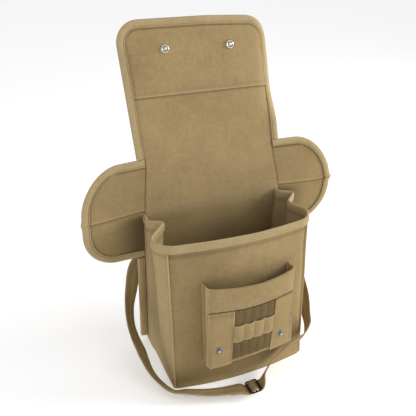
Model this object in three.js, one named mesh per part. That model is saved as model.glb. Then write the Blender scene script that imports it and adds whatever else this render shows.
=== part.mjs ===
// Canvas map case, worn on a shoulder strap and shown standing open: a tall body with folded side
// gussets, a back panel that runs on up into the closing flap, two weather wings beside the mouth,
// a bellows pocket with pen loops and two snap tabs, and a webbing strap with a three-bar slide.
// Millimetres, +Z up, the front faces -Y. The origin is on the floor under the body.

import * as THREE from 'three';
import { mergeVertices } from 'three/addons/utils/BufferGeometryUtils.js';

// Cloth and seams
const canvas = 1.8; // wall of two layers of canvas
const seamGap = 0.3; // clearance between pieces that are sewn together
const bandWall = 1.1; // one leg of the folded edge binding

// Body
const bodyHeight = 237; // floor to the top of the mouth binding
const backDepth = 54.5; // origin to the rear face of the back panel
const backSkew = 8; // how much further back the right edge of the back panel stands
const backKick = 12; // how much further back the back panel stands at the foot than at the mouth
const backHalf = 109; // half width of the back panel between its seams
const frontHalf = backHalf - 5; // half width of the front panel at the foot
const frontFlare = 1; // how much the front's half width grows towards the mouth
const frontFoot = 60; // origin to the front corners at the foot
const frontHead = 44; // origin to the front corners at the mouth
const frontBow = 11; // how far the front panel bulges between its seams
const baseWall = 1.8; // thickness of the base
const footCorner = 7; // reach of the rounding of the front corners at the foot
const headCorner = 21; // and at the mouth
const mouthBand = 12; // height of the binding round the mouth
const weltProud = 3; // how far the piped front seams stand out
const weltWidth = 2.4;

// Gusset folds
const foldReach = 24; // the deepest fold, measured from the straight line between the seams
const seamLead = 7; // straight run of a gusset in front of the back panel
const seamInset = 1.6; // gusset centreline inside the back panel's seam line

// Flap
const flapLength = 263; // mouth to the flap's end
const flapHalf = 112.5; // half width of the flap over its binding
const flapLean = 16.4; // degrees that the opened flap leans back
const flapBend = 40; // radius of the bend at the mouth
const flapCorner = 34;
const bandWidth = 11.5; // width of the edge binding that shows
const bandFoot = 8; // floor to the lower ends of the back panel's side bands
const facingStart = 160; // mouth to the lower seam of the flap's facing
const facingWall = 0.9;

// Wings
const wingReach = 95; // the wider wing's reach from its seam
const wingRise = 77; // above the mouth
const wingDrop = 72; // below the mouth
const wingRoot = 0.5; // clearance between a wing and the seam it hangs from

// Bellows pocket
const pocketShift = 6; // the pocket sits this much to the right
const pocketHalf = 68;
const pocketDepth = 18;
const pocketBase = 50; // floor to the middle of the pocket's lower edge
const pocketTop = 177;
const pocketRise = 9; // how much higher the right end of the pocket's foot stands than the left
const pocketSag = 7; // how far the middle of the pocket's mouth hangs down
const pocketCorner = 5;
const hemDrop = 36; // depth of the folded hem on the pocket's mouth
const hemWall = 1.1;
const tabWidth = 38;
const tabInset = 1.8; // the pocket's edge to a tab's
const tabPinch = 5; // how much narrower the right tab is
const tabWall = 2.0;
const layerStep = 2.2; // space between the hem and the tabs below it
const penFoot = 6; // the pocket's lower edge to the pen backing's
const penWall = 1.0;
const penRib = 0.7;
const penRibs = 6;
const stripLow = 86; // floor to the lower edge of the pen strip
const stripHigh = 114;
const stripWall = 1.2;
const stripLoops = 4;
const stripPuff = 1.3;

// Snaps
const snapSpacing = 97;
const snapRadius = 6.2;
const studRadius = 3.0;
const capRadius = 7.4;
const flapSnap = 41; // flap's end to its snaps
const flapSnapShift = 1; // the snaps' middle, to the right of the flap's own
const pocketSnap = 76; // floor to the snaps on the tabs
const pocketSnapShift = 3.5; // the snaps' middle, to the left of the pocket's own

// Strap and slide
const strapWidth = 25;
const strapWall = 1.7;
const strapStep = 9; // spacing of the sections along the strap
const slideWire = 2.2;
const slideLength = 18; // along the strap
const slidePlay = 0.9; // clearance at each end of the slots
const slidePlace = 0.499; // share of the strap's length where the slide sits
const tailLength = 26; // free end of the strap beyond the slide
const tailShift = 2.2; // the free end lies this much off the strap's line
const tailGap = 0.6; // the free end's distance from the strap's face

const bandHalf = canvas / 2 + seamGap + bandWall; // half thickness of a bound edge
const backMid = backDepth - canvas / 2;
const hingeHeight = bodyHeight;
const lean = THREE.MathUtils.degToRad(flapLean);
const flapEnd = hingeHeight + flapLength;
const wingFoot = hingeHeight - wingDrop;
const wingHead = hingeHeight + wingRise;
const { lerp } = THREE.MathUtils;

// Colours and finishes
const canvasCloth = new THREE.MeshStandardMaterial({ color: 0xa08a5c, roughness: 0.95 });
const bindingCloth = new THREE.MeshStandardMaterial({ color: 0xac9668, roughness: 0.95 });
const shadeCloth = new THREE.MeshStandardMaterial({ color: 0x7a6340, roughness: 0.95 });
const webbing = new THREE.MeshStandardMaterial({ color: 0xa8905f, roughness: 0.9 });
const nickel = new THREE.MeshStandardMaterial({ color: 0xb9bbbd, roughness: 0.3, metalness: 1 });
const blackSteel = new THREE.MeshStandardMaterial({ color: 0x23252b, roughness: 0.35, metalness: 1 });

const caseGroup = new THREE.Group();

// Adds one closed mesh under its name.
function addPiece(name, geometry, material) {
  const mesh = new THREE.Mesh(geometry, material);
  mesh.name = name;
  caseGroup.add(mesh);
  return mesh;
}

// Turns a list of vertices and triangles into a geometry.
function solidFrom(points, triangles) {
  const geometry = new THREE.BufferGeometry();
  const numbers = points.flatMap((p) => [p.x, p.y, p.z]);
  geometry.setAttribute('position', new THREE.Float32BufferAttribute(numbers, 3));
  geometry.setIndex(triangles);
  return geometry;
}

// Signed volume, used to turn a solid's faces outwards.
function signedVolume(points, triangles) {
  let sum = 0;
  const cross = new THREE.Vector3();
  for (let i = 0; i < triangles.length; i += 3) {
    const [a, b, c] = [0, 1, 2].map((k) => points[triangles[i + k]]);
    sum += a.dot(cross.crossVectors(b, c));
  }
  return sum / 6;
}

function outward(points, triangles) {
  if (signedVolume(points, triangles) < 0) {
    for (let i = 0; i < triangles.length; i += 3) {
      [triangles[i + 1], triangles[i + 2]] = [triangles[i + 2], triangles[i + 1]];
    }
  }
  return solidFrom(points, triangles);
}

// A cloth wall: two grids of points, one for each face, closed round their edge.
function wallSolid(faceA, faceB) {
  const rows = faceA.length;
  const columns = faceA[0].length;
  const points = [...faceA.flat(), ...faceB.flat()];
  const at = (face, r, c) => face * rows * columns + r * columns + c;
  const triangles = [];
  const quad = (a, b, c, d) => triangles.push(a, b, c, a, c, d);
  for (let r = 0; r + 1 < rows; r++) {
    for (let c = 0; c + 1 < columns; c++) {
      quad(at(0, r, c), at(0, r, c + 1), at(0, r + 1, c + 1), at(0, r + 1, c));
      quad(at(1, r, c), at(1, r + 1, c), at(1, r + 1, c + 1), at(1, r, c + 1));
    }
  }
  for (let c = 0; c + 1 < columns; c++) {
    quad(at(0, 0, c + 1), at(0, 0, c), at(1, 0, c), at(1, 0, c + 1));
    quad(at(0, rows - 1, c), at(0, rows - 1, c + 1), at(1, rows - 1, c + 1), at(1, rows - 1, c));
  }
  for (let r = 0; r + 1 < rows; r++) {
    quad(at(0, r, 0), at(0, r + 1, 0), at(1, r + 1, 0), at(1, r, 0));
    quad(at(0, r + 1, columns - 1), at(0, r, columns - 1), at(1, r, columns - 1), at(1, r + 1, columns - 1));
  }
  return outward(points, triangles);
}

// A bar: rings of points joined one to the next, its ends closed by the section's own triangles.
function sweptSolid(rings, section) {
  const count = section.length;
  const points = rings.flat();
  const triangles = [];
  for (let s = 0; s + 1 < rings.length; s++) {
    for (let k = 0; k < count; k++) {
      const next = (k + 1) % count;
      const [a, b, c, d] = [s * count + k, s * count + next, (s + 1) * count + next, (s + 1) * count + k];
      triangles.push(a, b, c, a, c, d);
    }
  }
  const last = (rings.length - 1) * count;
  let caps = THREE.ShapeUtils.triangulateShape(section, []);
  if (THREE.ShapeUtils.area(section) < 0) caps = caps.map(([a, b, c]) => [a, c, b]);
  for (const [a, b, c] of caps) {
    triangles.push(a, c, b);
    triangles.push(last + a, last + b, last + c);
  }
  return outward(points, triangles);
}

// The folded binding's section: inward distance from the edge, and height off the middle surface.
function bindingSection(width) {
  const nose = bandWall * 0.8;
  const inner = bandHalf - bandWall;
  const ring = [
    [width, bandHalf], [nose, bandHalf], [0, bandHalf * 0.45], [0, -bandHalf * 0.45], [nose, -bandHalf],
    [width, -bandHalf], [width, -inner], [bandWall, -inner], [bandWall, inner], [width, inner],
  ];
  return ring.map(([d, n]) => new THREE.Vector2(d, n));
}

// Plan of the body's wall at one height

// How far each fold stands out of the straight gusset, as shares of foldReach, by side and height.
const foldShares = [
  { side: -1, up: 0.0, backLobe: 0.02, crease: -0.05, frontLobe: 0.02 },
  { side: -1, up: 0.5, backLobe: 0.10, crease: -0.45, frontLobe: 0.36 },
  { side: -1, up: 1.0, backLobe: 0.04, crease: -0.85, frontLobe: 0.62 },
  { side: 1, up: 0.0, backLobe: 0.05, crease: -0.05, frontLobe: 0.15 },
  { side: 1, up: 0.5, backLobe: 0.45, crease: -0.15, frontLobe: 0.60 },
  { side: 1, up: 1.0, backLobe: 0.85, crease: -0.12, frontLobe: 0.58 },
];

// Where the folds lie between the back seam, 0, and the front seam, 1.
const foldPlaces = [
  { side: -1, backLobe: 0.12, crease: 0.25, frontLobe: 0.70 },
  { side: 1, backLobe: 0.16, crease: 0.40, frontLobe: 0.74 },
];

function foldsAt(side, up) {
  const rows = foldShares.filter((row) => row.side === side);
  const high = Math.max(1, rows.findIndex((row) => row.up >= up));
  const [a, b] = [rows[high - 1], rows[high]];
  const t = (up - a.up) / (b.up - a.up);
  const share = (column) => lerp(a[column], b[column], t) * foldReach;
  return { backLobe: share('backLobe'), crease: share('crease'), frontLobe: share('frontLobe') };
}

// How far the back panel stands back of its middle line at the mouth, at sideways place x and height z.
// The skew fades out up the flap.
function backSet(x, z) {
  const low = Math.max(1 - z / (bodyHeight - mouthBand), 0);
  const fade = 1 - THREE.MathUtils.smoothstep(z, hingeHeight, hingeHeight + flapLength / 2);
  return (backSkew * fade * x) / (2 * backHalf) + backKick * low;
}

// Control points of one gusset from the back panel to the front corner: x, y and the rounding's reach.
function gussetControls(side, up) {
  const out = foldsAt(side, up);
  const place = foldPlaces.find((row) => row.side === side);
  const seamX = backHalf - seamInset;
  const seamY = backMid + backSet(side * seamX, up * (bodyHeight - mouthBand)) - canvas / 2 - seamGap;
  const cornerX = frontHalf + frontFlare * up;
  const cornerY = -lerp(frontFoot, frontHead, up);
  const leadY = seamY - seamLead;
  const fold = (share, reach) => [side * (lerp(seamX, cornerX, share) + reach), lerp(leadY, cornerY, share)];
  return [
    [side * seamX, seamY, 0],
    [side * seamX, leadY, 3],
    [...fold(place.backLobe, out.backLobe), 6],
    [...fold(place.crease, out.crease), 8],
    [...fold(place.frontLobe, out.frontLobe), 15],
    [side * cornerX, cornerY, lerp(footCorner, headCorner, up)],
  ];
}

function frontControls(up) {
  const cornerX = frontHalf + frontFlare * up;
  const cornerY = -lerp(frontFoot, frontHead, up);
  return [-0.5, 0, 0.5].map((share) => {
    const bulge = frontBow * (1 - share * share);
    return [share * cornerX, cornerY - bulge, cornerX * 0.2];
  });
}

const arcSteps = 4;

// Rounds a chain of control points: straight runs between short curves, one for each inner point
// that has a reach. A point with none stays sharp.
function roundedChain(controls) {
  const spots = controls.map(([x, y]) => new THREE.Vector2(x, y));
  const chain = [spots[0]];
  for (let i = 1; i + 1 < spots.length; i++) {
    const before = spots[i - 1].clone().sub(spots[i]);
    const after = spots[i + 1].clone().sub(spots[i]);
    const reach = Math.min(controls[i][2], 0.45 * before.length(), 0.45 * after.length());
    if (reach === 0) {
      chain.push(spots[i]);
      continue;
    }
    const start = spots[i].clone().addScaledVector(before.normalize(), reach);
    const end = spots[i].clone().addScaledVector(after.normalize(), reach);
    const curve = new THREE.QuadraticBezierCurve(start, spots[i], end);
    chain.push(...curve.getPoints(arcSteps));
  }
  chain.push(spots[spots.length - 1]);
  return chain;
}

// The front seam's index, in the middle of the front corner's curve. Each control point but the first
// is a curve of arcSteps steps.
const seamIndex = (gussetControls(-1, 0).length - 1) * (arcSteps + 1) - arcSteps / 2;

// The wall's plan from the left back seam round the front to the right back seam. It doesn't change
// within the height of the mouth's binding.
function wallPlan(z) {
  const up = THREE.MathUtils.clamp(z / (bodyHeight - mouthBand), 0, 1);
  const controls = [...gussetControls(-1, up), ...frontControls(up), ...gussetControls(1, up).reverse()];
  return roundedChain(controls);
}

// The point of a plan's chain at index i, offset along the outward normal.
function planPoint(chain, i, z, offset) {
  const before = chain[Math.max(i - 1, 0)];
  const after = chain[Math.min(i + 1, chain.length - 1)];
  const along = after.clone().sub(before).normalize();
  const spot = chain[i];
  return new THREE.Vector3(spot.x + along.y * offset, spot.y - along.x * offset, z);
}

const chainLength = wallPlan(0).length;
const rightSeamIndex = chainLength - 1 - seamIndex;

// A stretch of the body wall between two places of the plan, each end drawn in by half a seam gap.
function bodyWall(from, to) {
  const top = bodyHeight - bandWall - seamGap;
  const levels = [
    ...spread(baseWall + seamGap, bodyHeight / 2, 3),
    ...spread(bodyHeight / 2, bodyHeight - mouthBand, 3).slice(1),
    top,
  ];
  const face = (offset) => {
    const rows = [];
    for (const z of levels) {
      const chain = wallPlan(z);
      const row = [];
      for (let i = from; i <= to; i++) row.push(planPoint(chain, i, z, offset));
      if (from > 0) drawIn(row, 0, 1);
      if (to < chainLength - 1) drawIn(row, row.length - 1, row.length - 2);
      rows.push(row);
    }
    return rows;
  };
  return wallSolid(face(canvas / 2), face(-canvas / 2));
}

function drawIn(row, end, next) {
  const step = row[next].clone().sub(row[end]);
  row[end].addScaledVector(step.normalize(), seamGap / 2);
}

// Panels, flap and wings lie on one surface, which stands upright and leans back above the mouth.
// a runs sideways and v upwards along the cloth, n is the height off the surface towards the front.
function sheetPoint(a, v, n = 0, push = 0) {
  const bendStart = hingeHeight;
  const bent = THREE.MathUtils.clamp((v - bendStart) / flapBend, 0, lean);
  const rest = Math.max(v - bendStart - flapBend * lean, 0);
  const y = backMid + flapBend * (1 - Math.cos(bent)) + rest * Math.sin(lean) + backSet(a, v);
  const z = Math.min(v, bendStart) + flapBend * Math.sin(bent) + rest * Math.cos(lean);
  return new THREE.Vector3(a, y - push - n * Math.cos(bent), z + n * Math.sin(bent));
}

// Sideways drift of the opened flap's middle line, by height above the mouth as a share of its length.
const flapDrift = [
  { up: 0.0, shift: 3 },
  { up: 0.3, shift: 4.5 },
  { up: 1.0, shift: -4 },
];

function driftAt(v) {
  const up = THREE.MathUtils.clamp((v - hingeHeight) / flapLength, 0, 1);
  const high = Math.max(1, flapDrift.findIndex((row) => row.up >= up));
  const [a, b] = [flapDrift[high - 1], flapDrift[high]];
  const blend = THREE.MathUtils.smoothstep(v, hingeHeight - wingDrop, hingeHeight);
  return blend * lerp(a.shift, b.shift, (up - a.up) / (b.up - a.up));
}

// Half width of the back panel and flap between their seams.
function seamHalf(v) {
  return lerp(backHalf, flapHalf - bandWidth, THREE.MathUtils.smoothstep(v, hingeHeight, wingHead));
}

// Half width where a corner rounds the end: full, less what the corner takes at height v.
function roundedHalf(full, corner, end, v) {
  const into = Math.max(v - (end - corner), 0);
  return full - corner + Math.sqrt(Math.max(corner * corner - into * into, 0));
}

function spread(from, to, count) {
  return Array.from({ length: count + 1 }, (_, i) => lerp(from, to, i / count));
}

// Heights through a rounded corner, evenly spaced round its arc, from the full width to the end.
function cornerHeights(corner, end, steps) {
  return spread(0, Math.PI / 2, steps).slice(1).map((angle) => end - corner + corner * Math.sin(angle));
}

// A flat-laid cloth piece: rows of heights, each with its half width, as a solid on the sheet surface.
function sheetSolid(rows, columns, low, high) {
  const face = (n) => rows.map(({ v, half }) =>
    spread(-1, 1, columns).map((share) => sheetPoint(driftAt(v) + share * half, v, n)));
  return wallSolid(face(high), face(low));
}

function backAndFlap() {
  const tuck = bandWall + seamGap;
  const flangeHalf = backHalf + bandWidth - tuck;
  const foot = baseWall + seamGap;
  const step = 0.5;
  const bendEnd = hingeHeight + flapBend * lean;
  const rows = [
    ...[foot, bandFoot - seamGap].map((v) => ({ v, half: backHalf })),
    ...spread(bandFoot, wingFoot - 2 * step, 3).map((v) => ({ v, half: flangeHalf })),
    ...spread(wingFoot - step, hingeHeight, 3).map((v) => ({ v, half: seamHalf(v) })),
    ...spread(hingeHeight, bendEnd, 3).slice(1).map((v) => ({ v, half: seamHalf(v) })),
    ...spread(bendEnd, wingHead + step, 4).slice(1).map((v) => ({ v, half: seamHalf(v) })),
  ];
  const full = flapHalf - tuck;
  const corner = flapCorner - tuck;
  const end = flapEnd - tuck;
  rows.push(...spread(wingHead + 2 * step, end - corner, 5).map((v) => ({ v, half: full })));
  rows.push(...cornerHeights(corner, end, 6).map((v) => ({ v, half: roundedHalf(full, corner, end, v) })));
  return sheetSolid(rows, 6, -canvas / 2, canvas / 2);
}

function flapFacing() {
  const edge = bandWidth + 2 * seamGap;
  const full = flapHalf - edge;
  const corner = flapCorner - edge;
  const end = flapEnd - edge;
  const low = hingeHeight + facingStart;
  const rows = [
    ...spread(low, end - corner, 3).map((v) => ({ v, half: full })),
    ...cornerHeights(corner, end, 7).map((v) => ({ v, half: roundedHalf(full, corner, end, v) })),
  ];
  const under = canvas / 2 + seamGap;
  return sheetSolid(rows, 6, under, under + facingWall);
}

// Sweeps the binding along an outline in the sheet's own coordinates. lay gives the point in space.
function bindingOn(outline, lay, width) {
  const section = bindingSection(width);
  const rings = outline.map((spot, i) => {
    const before = outline[Math.max(i - 1, 0)];
    const after = outline[Math.min(i + 1, outline.length - 1)];
    const along = after.clone().sub(before).normalize();
    const inward = new THREE.Vector2(along.y, -along.x);
    return section.map(({ x: d, y: n }) => lay(spot.x + inward.x * d, spot.y + inward.y * d, n));
  });
  return sweptSolid(rings, section);
}

function flapOutline() {
  const end = flapEnd;
  const side = spread(wingHead + 1, end - flapCorner, 4);
  const arc = cornerHeights(flapCorner, end, 6);
  const edge = (sign, v) => {
    const half = roundedHalf(flapHalf, flapCorner, end, v);
    return new THREE.Vector2(driftAt(v) + sign * half, v);
  };
  const left = [...side, ...arc].map((v) => edge(-1, v));
  const right = [...side, ...arc].map((v) => edge(1, v)).reverse();
  const topHalf = flapHalf - flapCorner;
  const top = spread(-topHalf, topHalf, 6).slice(1, -1).map((a) => new THREE.Vector2(driftAt(end) + a, end));
  return [...left, ...top, ...right];
}

function flangeOutline(sign) {
  const heights = spread(bandFoot, wingFoot - 2, 6);
  const line = heights.map((v) => new THREE.Vector2(driftAt(v) + sign * (backHalf + bandWidth), v));
  return sign < 0 ? line : line.reverse();
}

// Each wing as shares: its reach of wingReach, its corners' widths of its own reach, their heights of
// wingRise above the mouth and wingDrop below it, and the fall of its upper edge of wingRise.
const wingTable = [
  { name: 'left', side: -1, reach: 0.958, headWide: 0.593, headHigh: 0.805, footWide: 0.571, fall: 0.052 },
  { name: 'right', side: 1, reach: 1.0, headWide: 0.589, headHigh: 0.857, footWide: 0.547, fall: 0.026 },
];
const wingFootCorner = 0.806; // height of both wings' lower corners, of wingDrop
const wingCurl = 2; // how far a wing's tip curls forward

const wingShapes = wingTable.map((row) => ({
  name: row.name,
  side: row.side,
  reach: row.reach * wingReach,
  headWide: row.headWide * row.reach * wingReach,
  headHigh: row.headHigh * wingRise,
  footWide: row.footWide * row.reach * wingReach,
  footHigh: wingFootCorner * wingDrop,
  fall: row.fall * wingRise,
}));

// Distance from the seam to the wing's edge at cloth height v, less an inset all round.
function wingReachAt(shape, v, inset) {
  const head = wingHead - inset;
  const foot = wingFoot + inset;
  const reach = shape.reach - inset;
  const upper = v > (head + foot) / 2;
  const wide = (upper ? shape.headWide : shape.footWide) - inset;
  const high = (upper ? shape.headHigh : shape.footHigh) - inset;
  const fromEdge = upper ? head - v : v - foot;
  const share = THREE.MathUtils.clamp(1 - fromEdge / high, 0, 1);
  return reach - wide + wide * Math.sqrt(1 - share * share);
}

// Lays a wing's own coordinates on the sheet: d from the seam, v upwards, n towards the front.
function wingLay(shape) {
  return (d, v, n) => {
    const out = d / shape.reach;
    const fall = v > hingeHeight ? (shape.fall * out * (v - hingeHeight)) / wingRise : 0;
    const root = driftAt(v) + shape.side * seamHalf(v);
    return sheetPoint(root + shape.side * d, v - fall, n, wingCurl * out * out);
  };
}

function wingRows(shape, inset) {
  const head = wingHead - inset;
  const foot = wingFoot + inset;
  const steps = spread(0, Math.PI / 2, 5);
  const low = steps.map((angle) => foot + (shape.footHigh - inset) * (1 - Math.cos(angle)));
  const high = steps.map((angle) => head - (shape.headHigh - inset) * (1 - Math.sin(angle)));
  return [...low, hingeHeight, ...high];
}

function wingPanel(shape) {
  const inset = bandWall + seamGap;
  const lay = wingLay(shape);
  const face = (n) => wingRows(shape, inset).map((v) =>
    spread(wingRoot, wingReachAt(shape, v, inset), 6).map((d) => lay(d, v, n)));
  return wallSolid(face(canvas / 2), face(-canvas / 2));
}

function wingBinding(shape) {
  const edgeRun = (v, count) => spread(wingRoot, wingReachAt(shape, v, 0), count).slice(0, -1)
    .map((d) => new THREE.Vector2(d, v));
  const round = wingRows(shape, 0).map((v) => new THREE.Vector2(wingReachAt(shape, v, 0), v));
  const outline = [...edgeRun(wingFoot, 3), ...round, ...edgeRun(wingHead, 3).reverse()].reverse();
  return bindingOn(outline, wingLay(shape), bandWidth);
}

// Binding that folds over the mouth's edge, from the back panel round to the back panel.
function mouthBinding() {
  const section = bindingSection(mouthBand);
  const levels = section.map(({ x: d }) => bodyHeight - d);
  const chains = levels.map((z) => wallPlan(z));
  const rings = spread(0, chainLength - 1, chainLength - 1).map((place) => {
    const i = Math.round(place);
    return section.map(({ y: n }, k) => planPoint(chains[k], i, levels[k], n));
  });
  return sweptSolid(rings, section);
}

// The base: the wall's outer plan at the foot, closed along the back panel's rear face.
function basePanel() {
  const chain = wallPlan(0);
  const outline = chain.map((_, i) => planPoint(chain, i, 0, canvas / 2));
  const ends = [1, -1].map((side) => {
    const x = side * (backHalf - seamInset + canvas / 2);
    return new THREE.Vector2(x, backDepth + backSet(x, 0));
  });
  const shape = new THREE.Shape([...outline.map((p) => new THREE.Vector2(p.x, p.y)), ...ends]);
  return new THREE.ExtrudeGeometry(shape, { depth: baseWall, bevelEnabled: false });
}

// The piped seam that stands out along each front corner.
function frontWelt(index) {
  const low = baseWall + seamGap;
  const high = bodyHeight - mouthBand - seamGap;
  const half = weltWidth / 2;
  const near = canvas / 2 + seamGap;
  const far = near + weltProud;
  const section = [[-half, near], [half, near], [half * 0.8, far], [-half * 0.8, far]]
    .map(([s, n]) => new THREE.Vector2(s, n));
  const rings = spread(low, high, 10).map((z) => {
    const chain = wallPlan(z);
    const base = planPoint(chain, index, z, 0);
    const out = planPoint(chain, index, z, 1).sub(base);
    const along = new THREE.Vector3(-out.y, out.x, 0);
    return section.map(({ x: s, y: n }) => base.clone().addScaledVector(out, n).addScaledVector(along, s));
  });
  return sweptSolid(rings, section);
}

// Outer face of the front panel at sideways place x and height z.
function frontSkin(x, z) {
  const up = z / (bodyHeight - mouthBand);
  const share = x / (frontHalf + frontFlare * up);
  return -lerp(frontFoot, frontHead, up) - frontBow * (1 - share * share) - canvas / 2;
}

// The same face as the front panel's own facets have it, for pieces that are sewn to it.
function frontFace(x, z) {
  const chain = wallPlan(z);
  const next = chain.findIndex((spot, i) => i > seamIndex && spot.x > x);
  const [a, b] = [next - 1, next].map((i) => planPoint(chain, i, z, canvas / 2));
  return lerp(a.y, b.y, (x - a.x) / (b.x - a.x));
}

// Outer face of the pocket, its middle bulging like the panel behind it.
function pocketSkin(x, z) {
  return frontSkin(x, z) - pocketDepth;
}

function pocketNormal(x, z) {
  const slopeX = pocketSkin(x + 1, z) - pocketSkin(x - 1, z);
  const slopeZ = pocketSkin(x, z + 1) - pocketSkin(x, z - 1);
  return new THREE.Vector3(slopeX / 2, -1, slopeZ / 2).normalize();
}

// Height of a point of the pocket that would lie at height z if the cloth hung straight.
function pocketDrape(x, z) {
  const across = THREE.MathUtils.clamp((x - pocketShift) / pocketHalf, -1, 1);
  const up = (z - pocketBase) / (pocketTop - pocketBase);
  return z + (1 - up) * across * (pocketRise / 2) - up ** 3 * pocketSag * (1 - across ** 2);
}

// Plan of the pocket's wall at height z: back edge, side, face, side, back edge.
function pocketPlan(z) {
  const shelf = seamGap + 0.15; // keeps both corners of the wall's back edges clear of the bowed panel
  const middle = (x) => pocketSkin(x, z) + canvas / 2;
  const side = (sign) => {
    const x = pocketShift + sign * (pocketHalf - canvas / 2);
    return [[x, frontFace(x, z) - shelf, 0], [x, middle(x), pocketCorner]];
  };
  const reach = pocketHalf - 2 * pocketCorner;
  const face = spread(-reach, reach, 8).map((a) => [pocketShift + a, middle(pocketShift + a), 0]);
  return roundedChain([...side(-1), ...face, ...side(1).reverse()]);
}

function pocketShell() {
  const face = (offset) => spread(pocketBase, pocketTop, 5).map((z) => pocketPlan(z).map(({ x }, i) => {
    const draped = pocketDrape(x, z);
    return planPoint(pocketPlan(draped), i, draped, offset);
  }));
  return wallSolid(face(canvas / 2), face(-canvas / 2));
}

function pocketFloor() {
  const clear = canvas + 2 * seamGap;
  const half = pocketHalf - clear - 1;
  const face = (z) => [0, 1].map((depth) => spread(-half, half, 8).map((a) => {
    const x = pocketShift + a;
    const draped = pocketDrape(x, z);
    const near = frontFace(x, draped) - seamGap;
    const far = pocketSkin(x, draped) + clear;
    return new THREE.Vector3(x, lerp(near, far, depth), draped);
  }));
  return wallSolid(face(pocketBase + canvas), face(pocketBase));
}

// A layer sewn on the pocket's face: from off to off + wall in front of it, with an optional swell.
function pocketLayer(xLow, xHigh, zLow, zHigh, off, wall, columns, rows, swell = () => 0) {
  const face = (depth) => spread(zLow, zHigh, rows).map((z) =>
    spread(xLow, xHigh, columns).map((x) => {
      const draped = pocketDrape(x, z);
      return new THREE.Vector3(x, pocketSkin(x, draped) - depth - swell((x - xLow) / (xHigh - xLow)), draped);
    }));
  return wallSolid(face(off + wall), face(off));
}

// A turned snap part standing on a face: profile of radius and height, placed at a point and axis.
function snapPart(profile, place, axis) {
  const geometry = new THREE.LatheGeometry(profile.map(([r, h]) => new THREE.Vector2(r, h)), 16);
  geometry.deleteAttribute('normal');
  geometry.deleteAttribute('uv');
  geometry.applyQuaternion(new THREE.Quaternion().setFromUnitVectors(new THREE.Vector3(0, 1, 0), axis));
  geometry.translate(place.x, place.y, place.z);
  return mergeVertices(geometry, 1e-4);
}

// Profiles of the snap parts: radius and height above the cloth.
const socketProfile = [
  [0, 0], [snapRadius, 0], [snapRadius, 1.2], [snapRadius * 0.8, 2.2], [snapRadius * 0.55, 2.2],
  [snapRadius * 0.45, 1.0], [snapRadius * 0.28, 1.0], [snapRadius * 0.2, 1.9], [0, 1.9],
];
const studProfile = [
  [0, 0], [snapRadius * 0.92, 0], [snapRadius * 0.85, 0.9], [studRadius, 1.3],
  [studRadius * 0.9, 2.4], [studRadius * 1.08, 3.1], [studRadius * 0.7, 3.8], [0, 3.9],
];
const capProfile = [
  [0, 0], [capRadius, 0], [capRadius, 0.7], [capRadius * 0.8, 1.7], [capRadius * 0.4, 2.3], [0, 2.4],
];

// Strap

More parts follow.
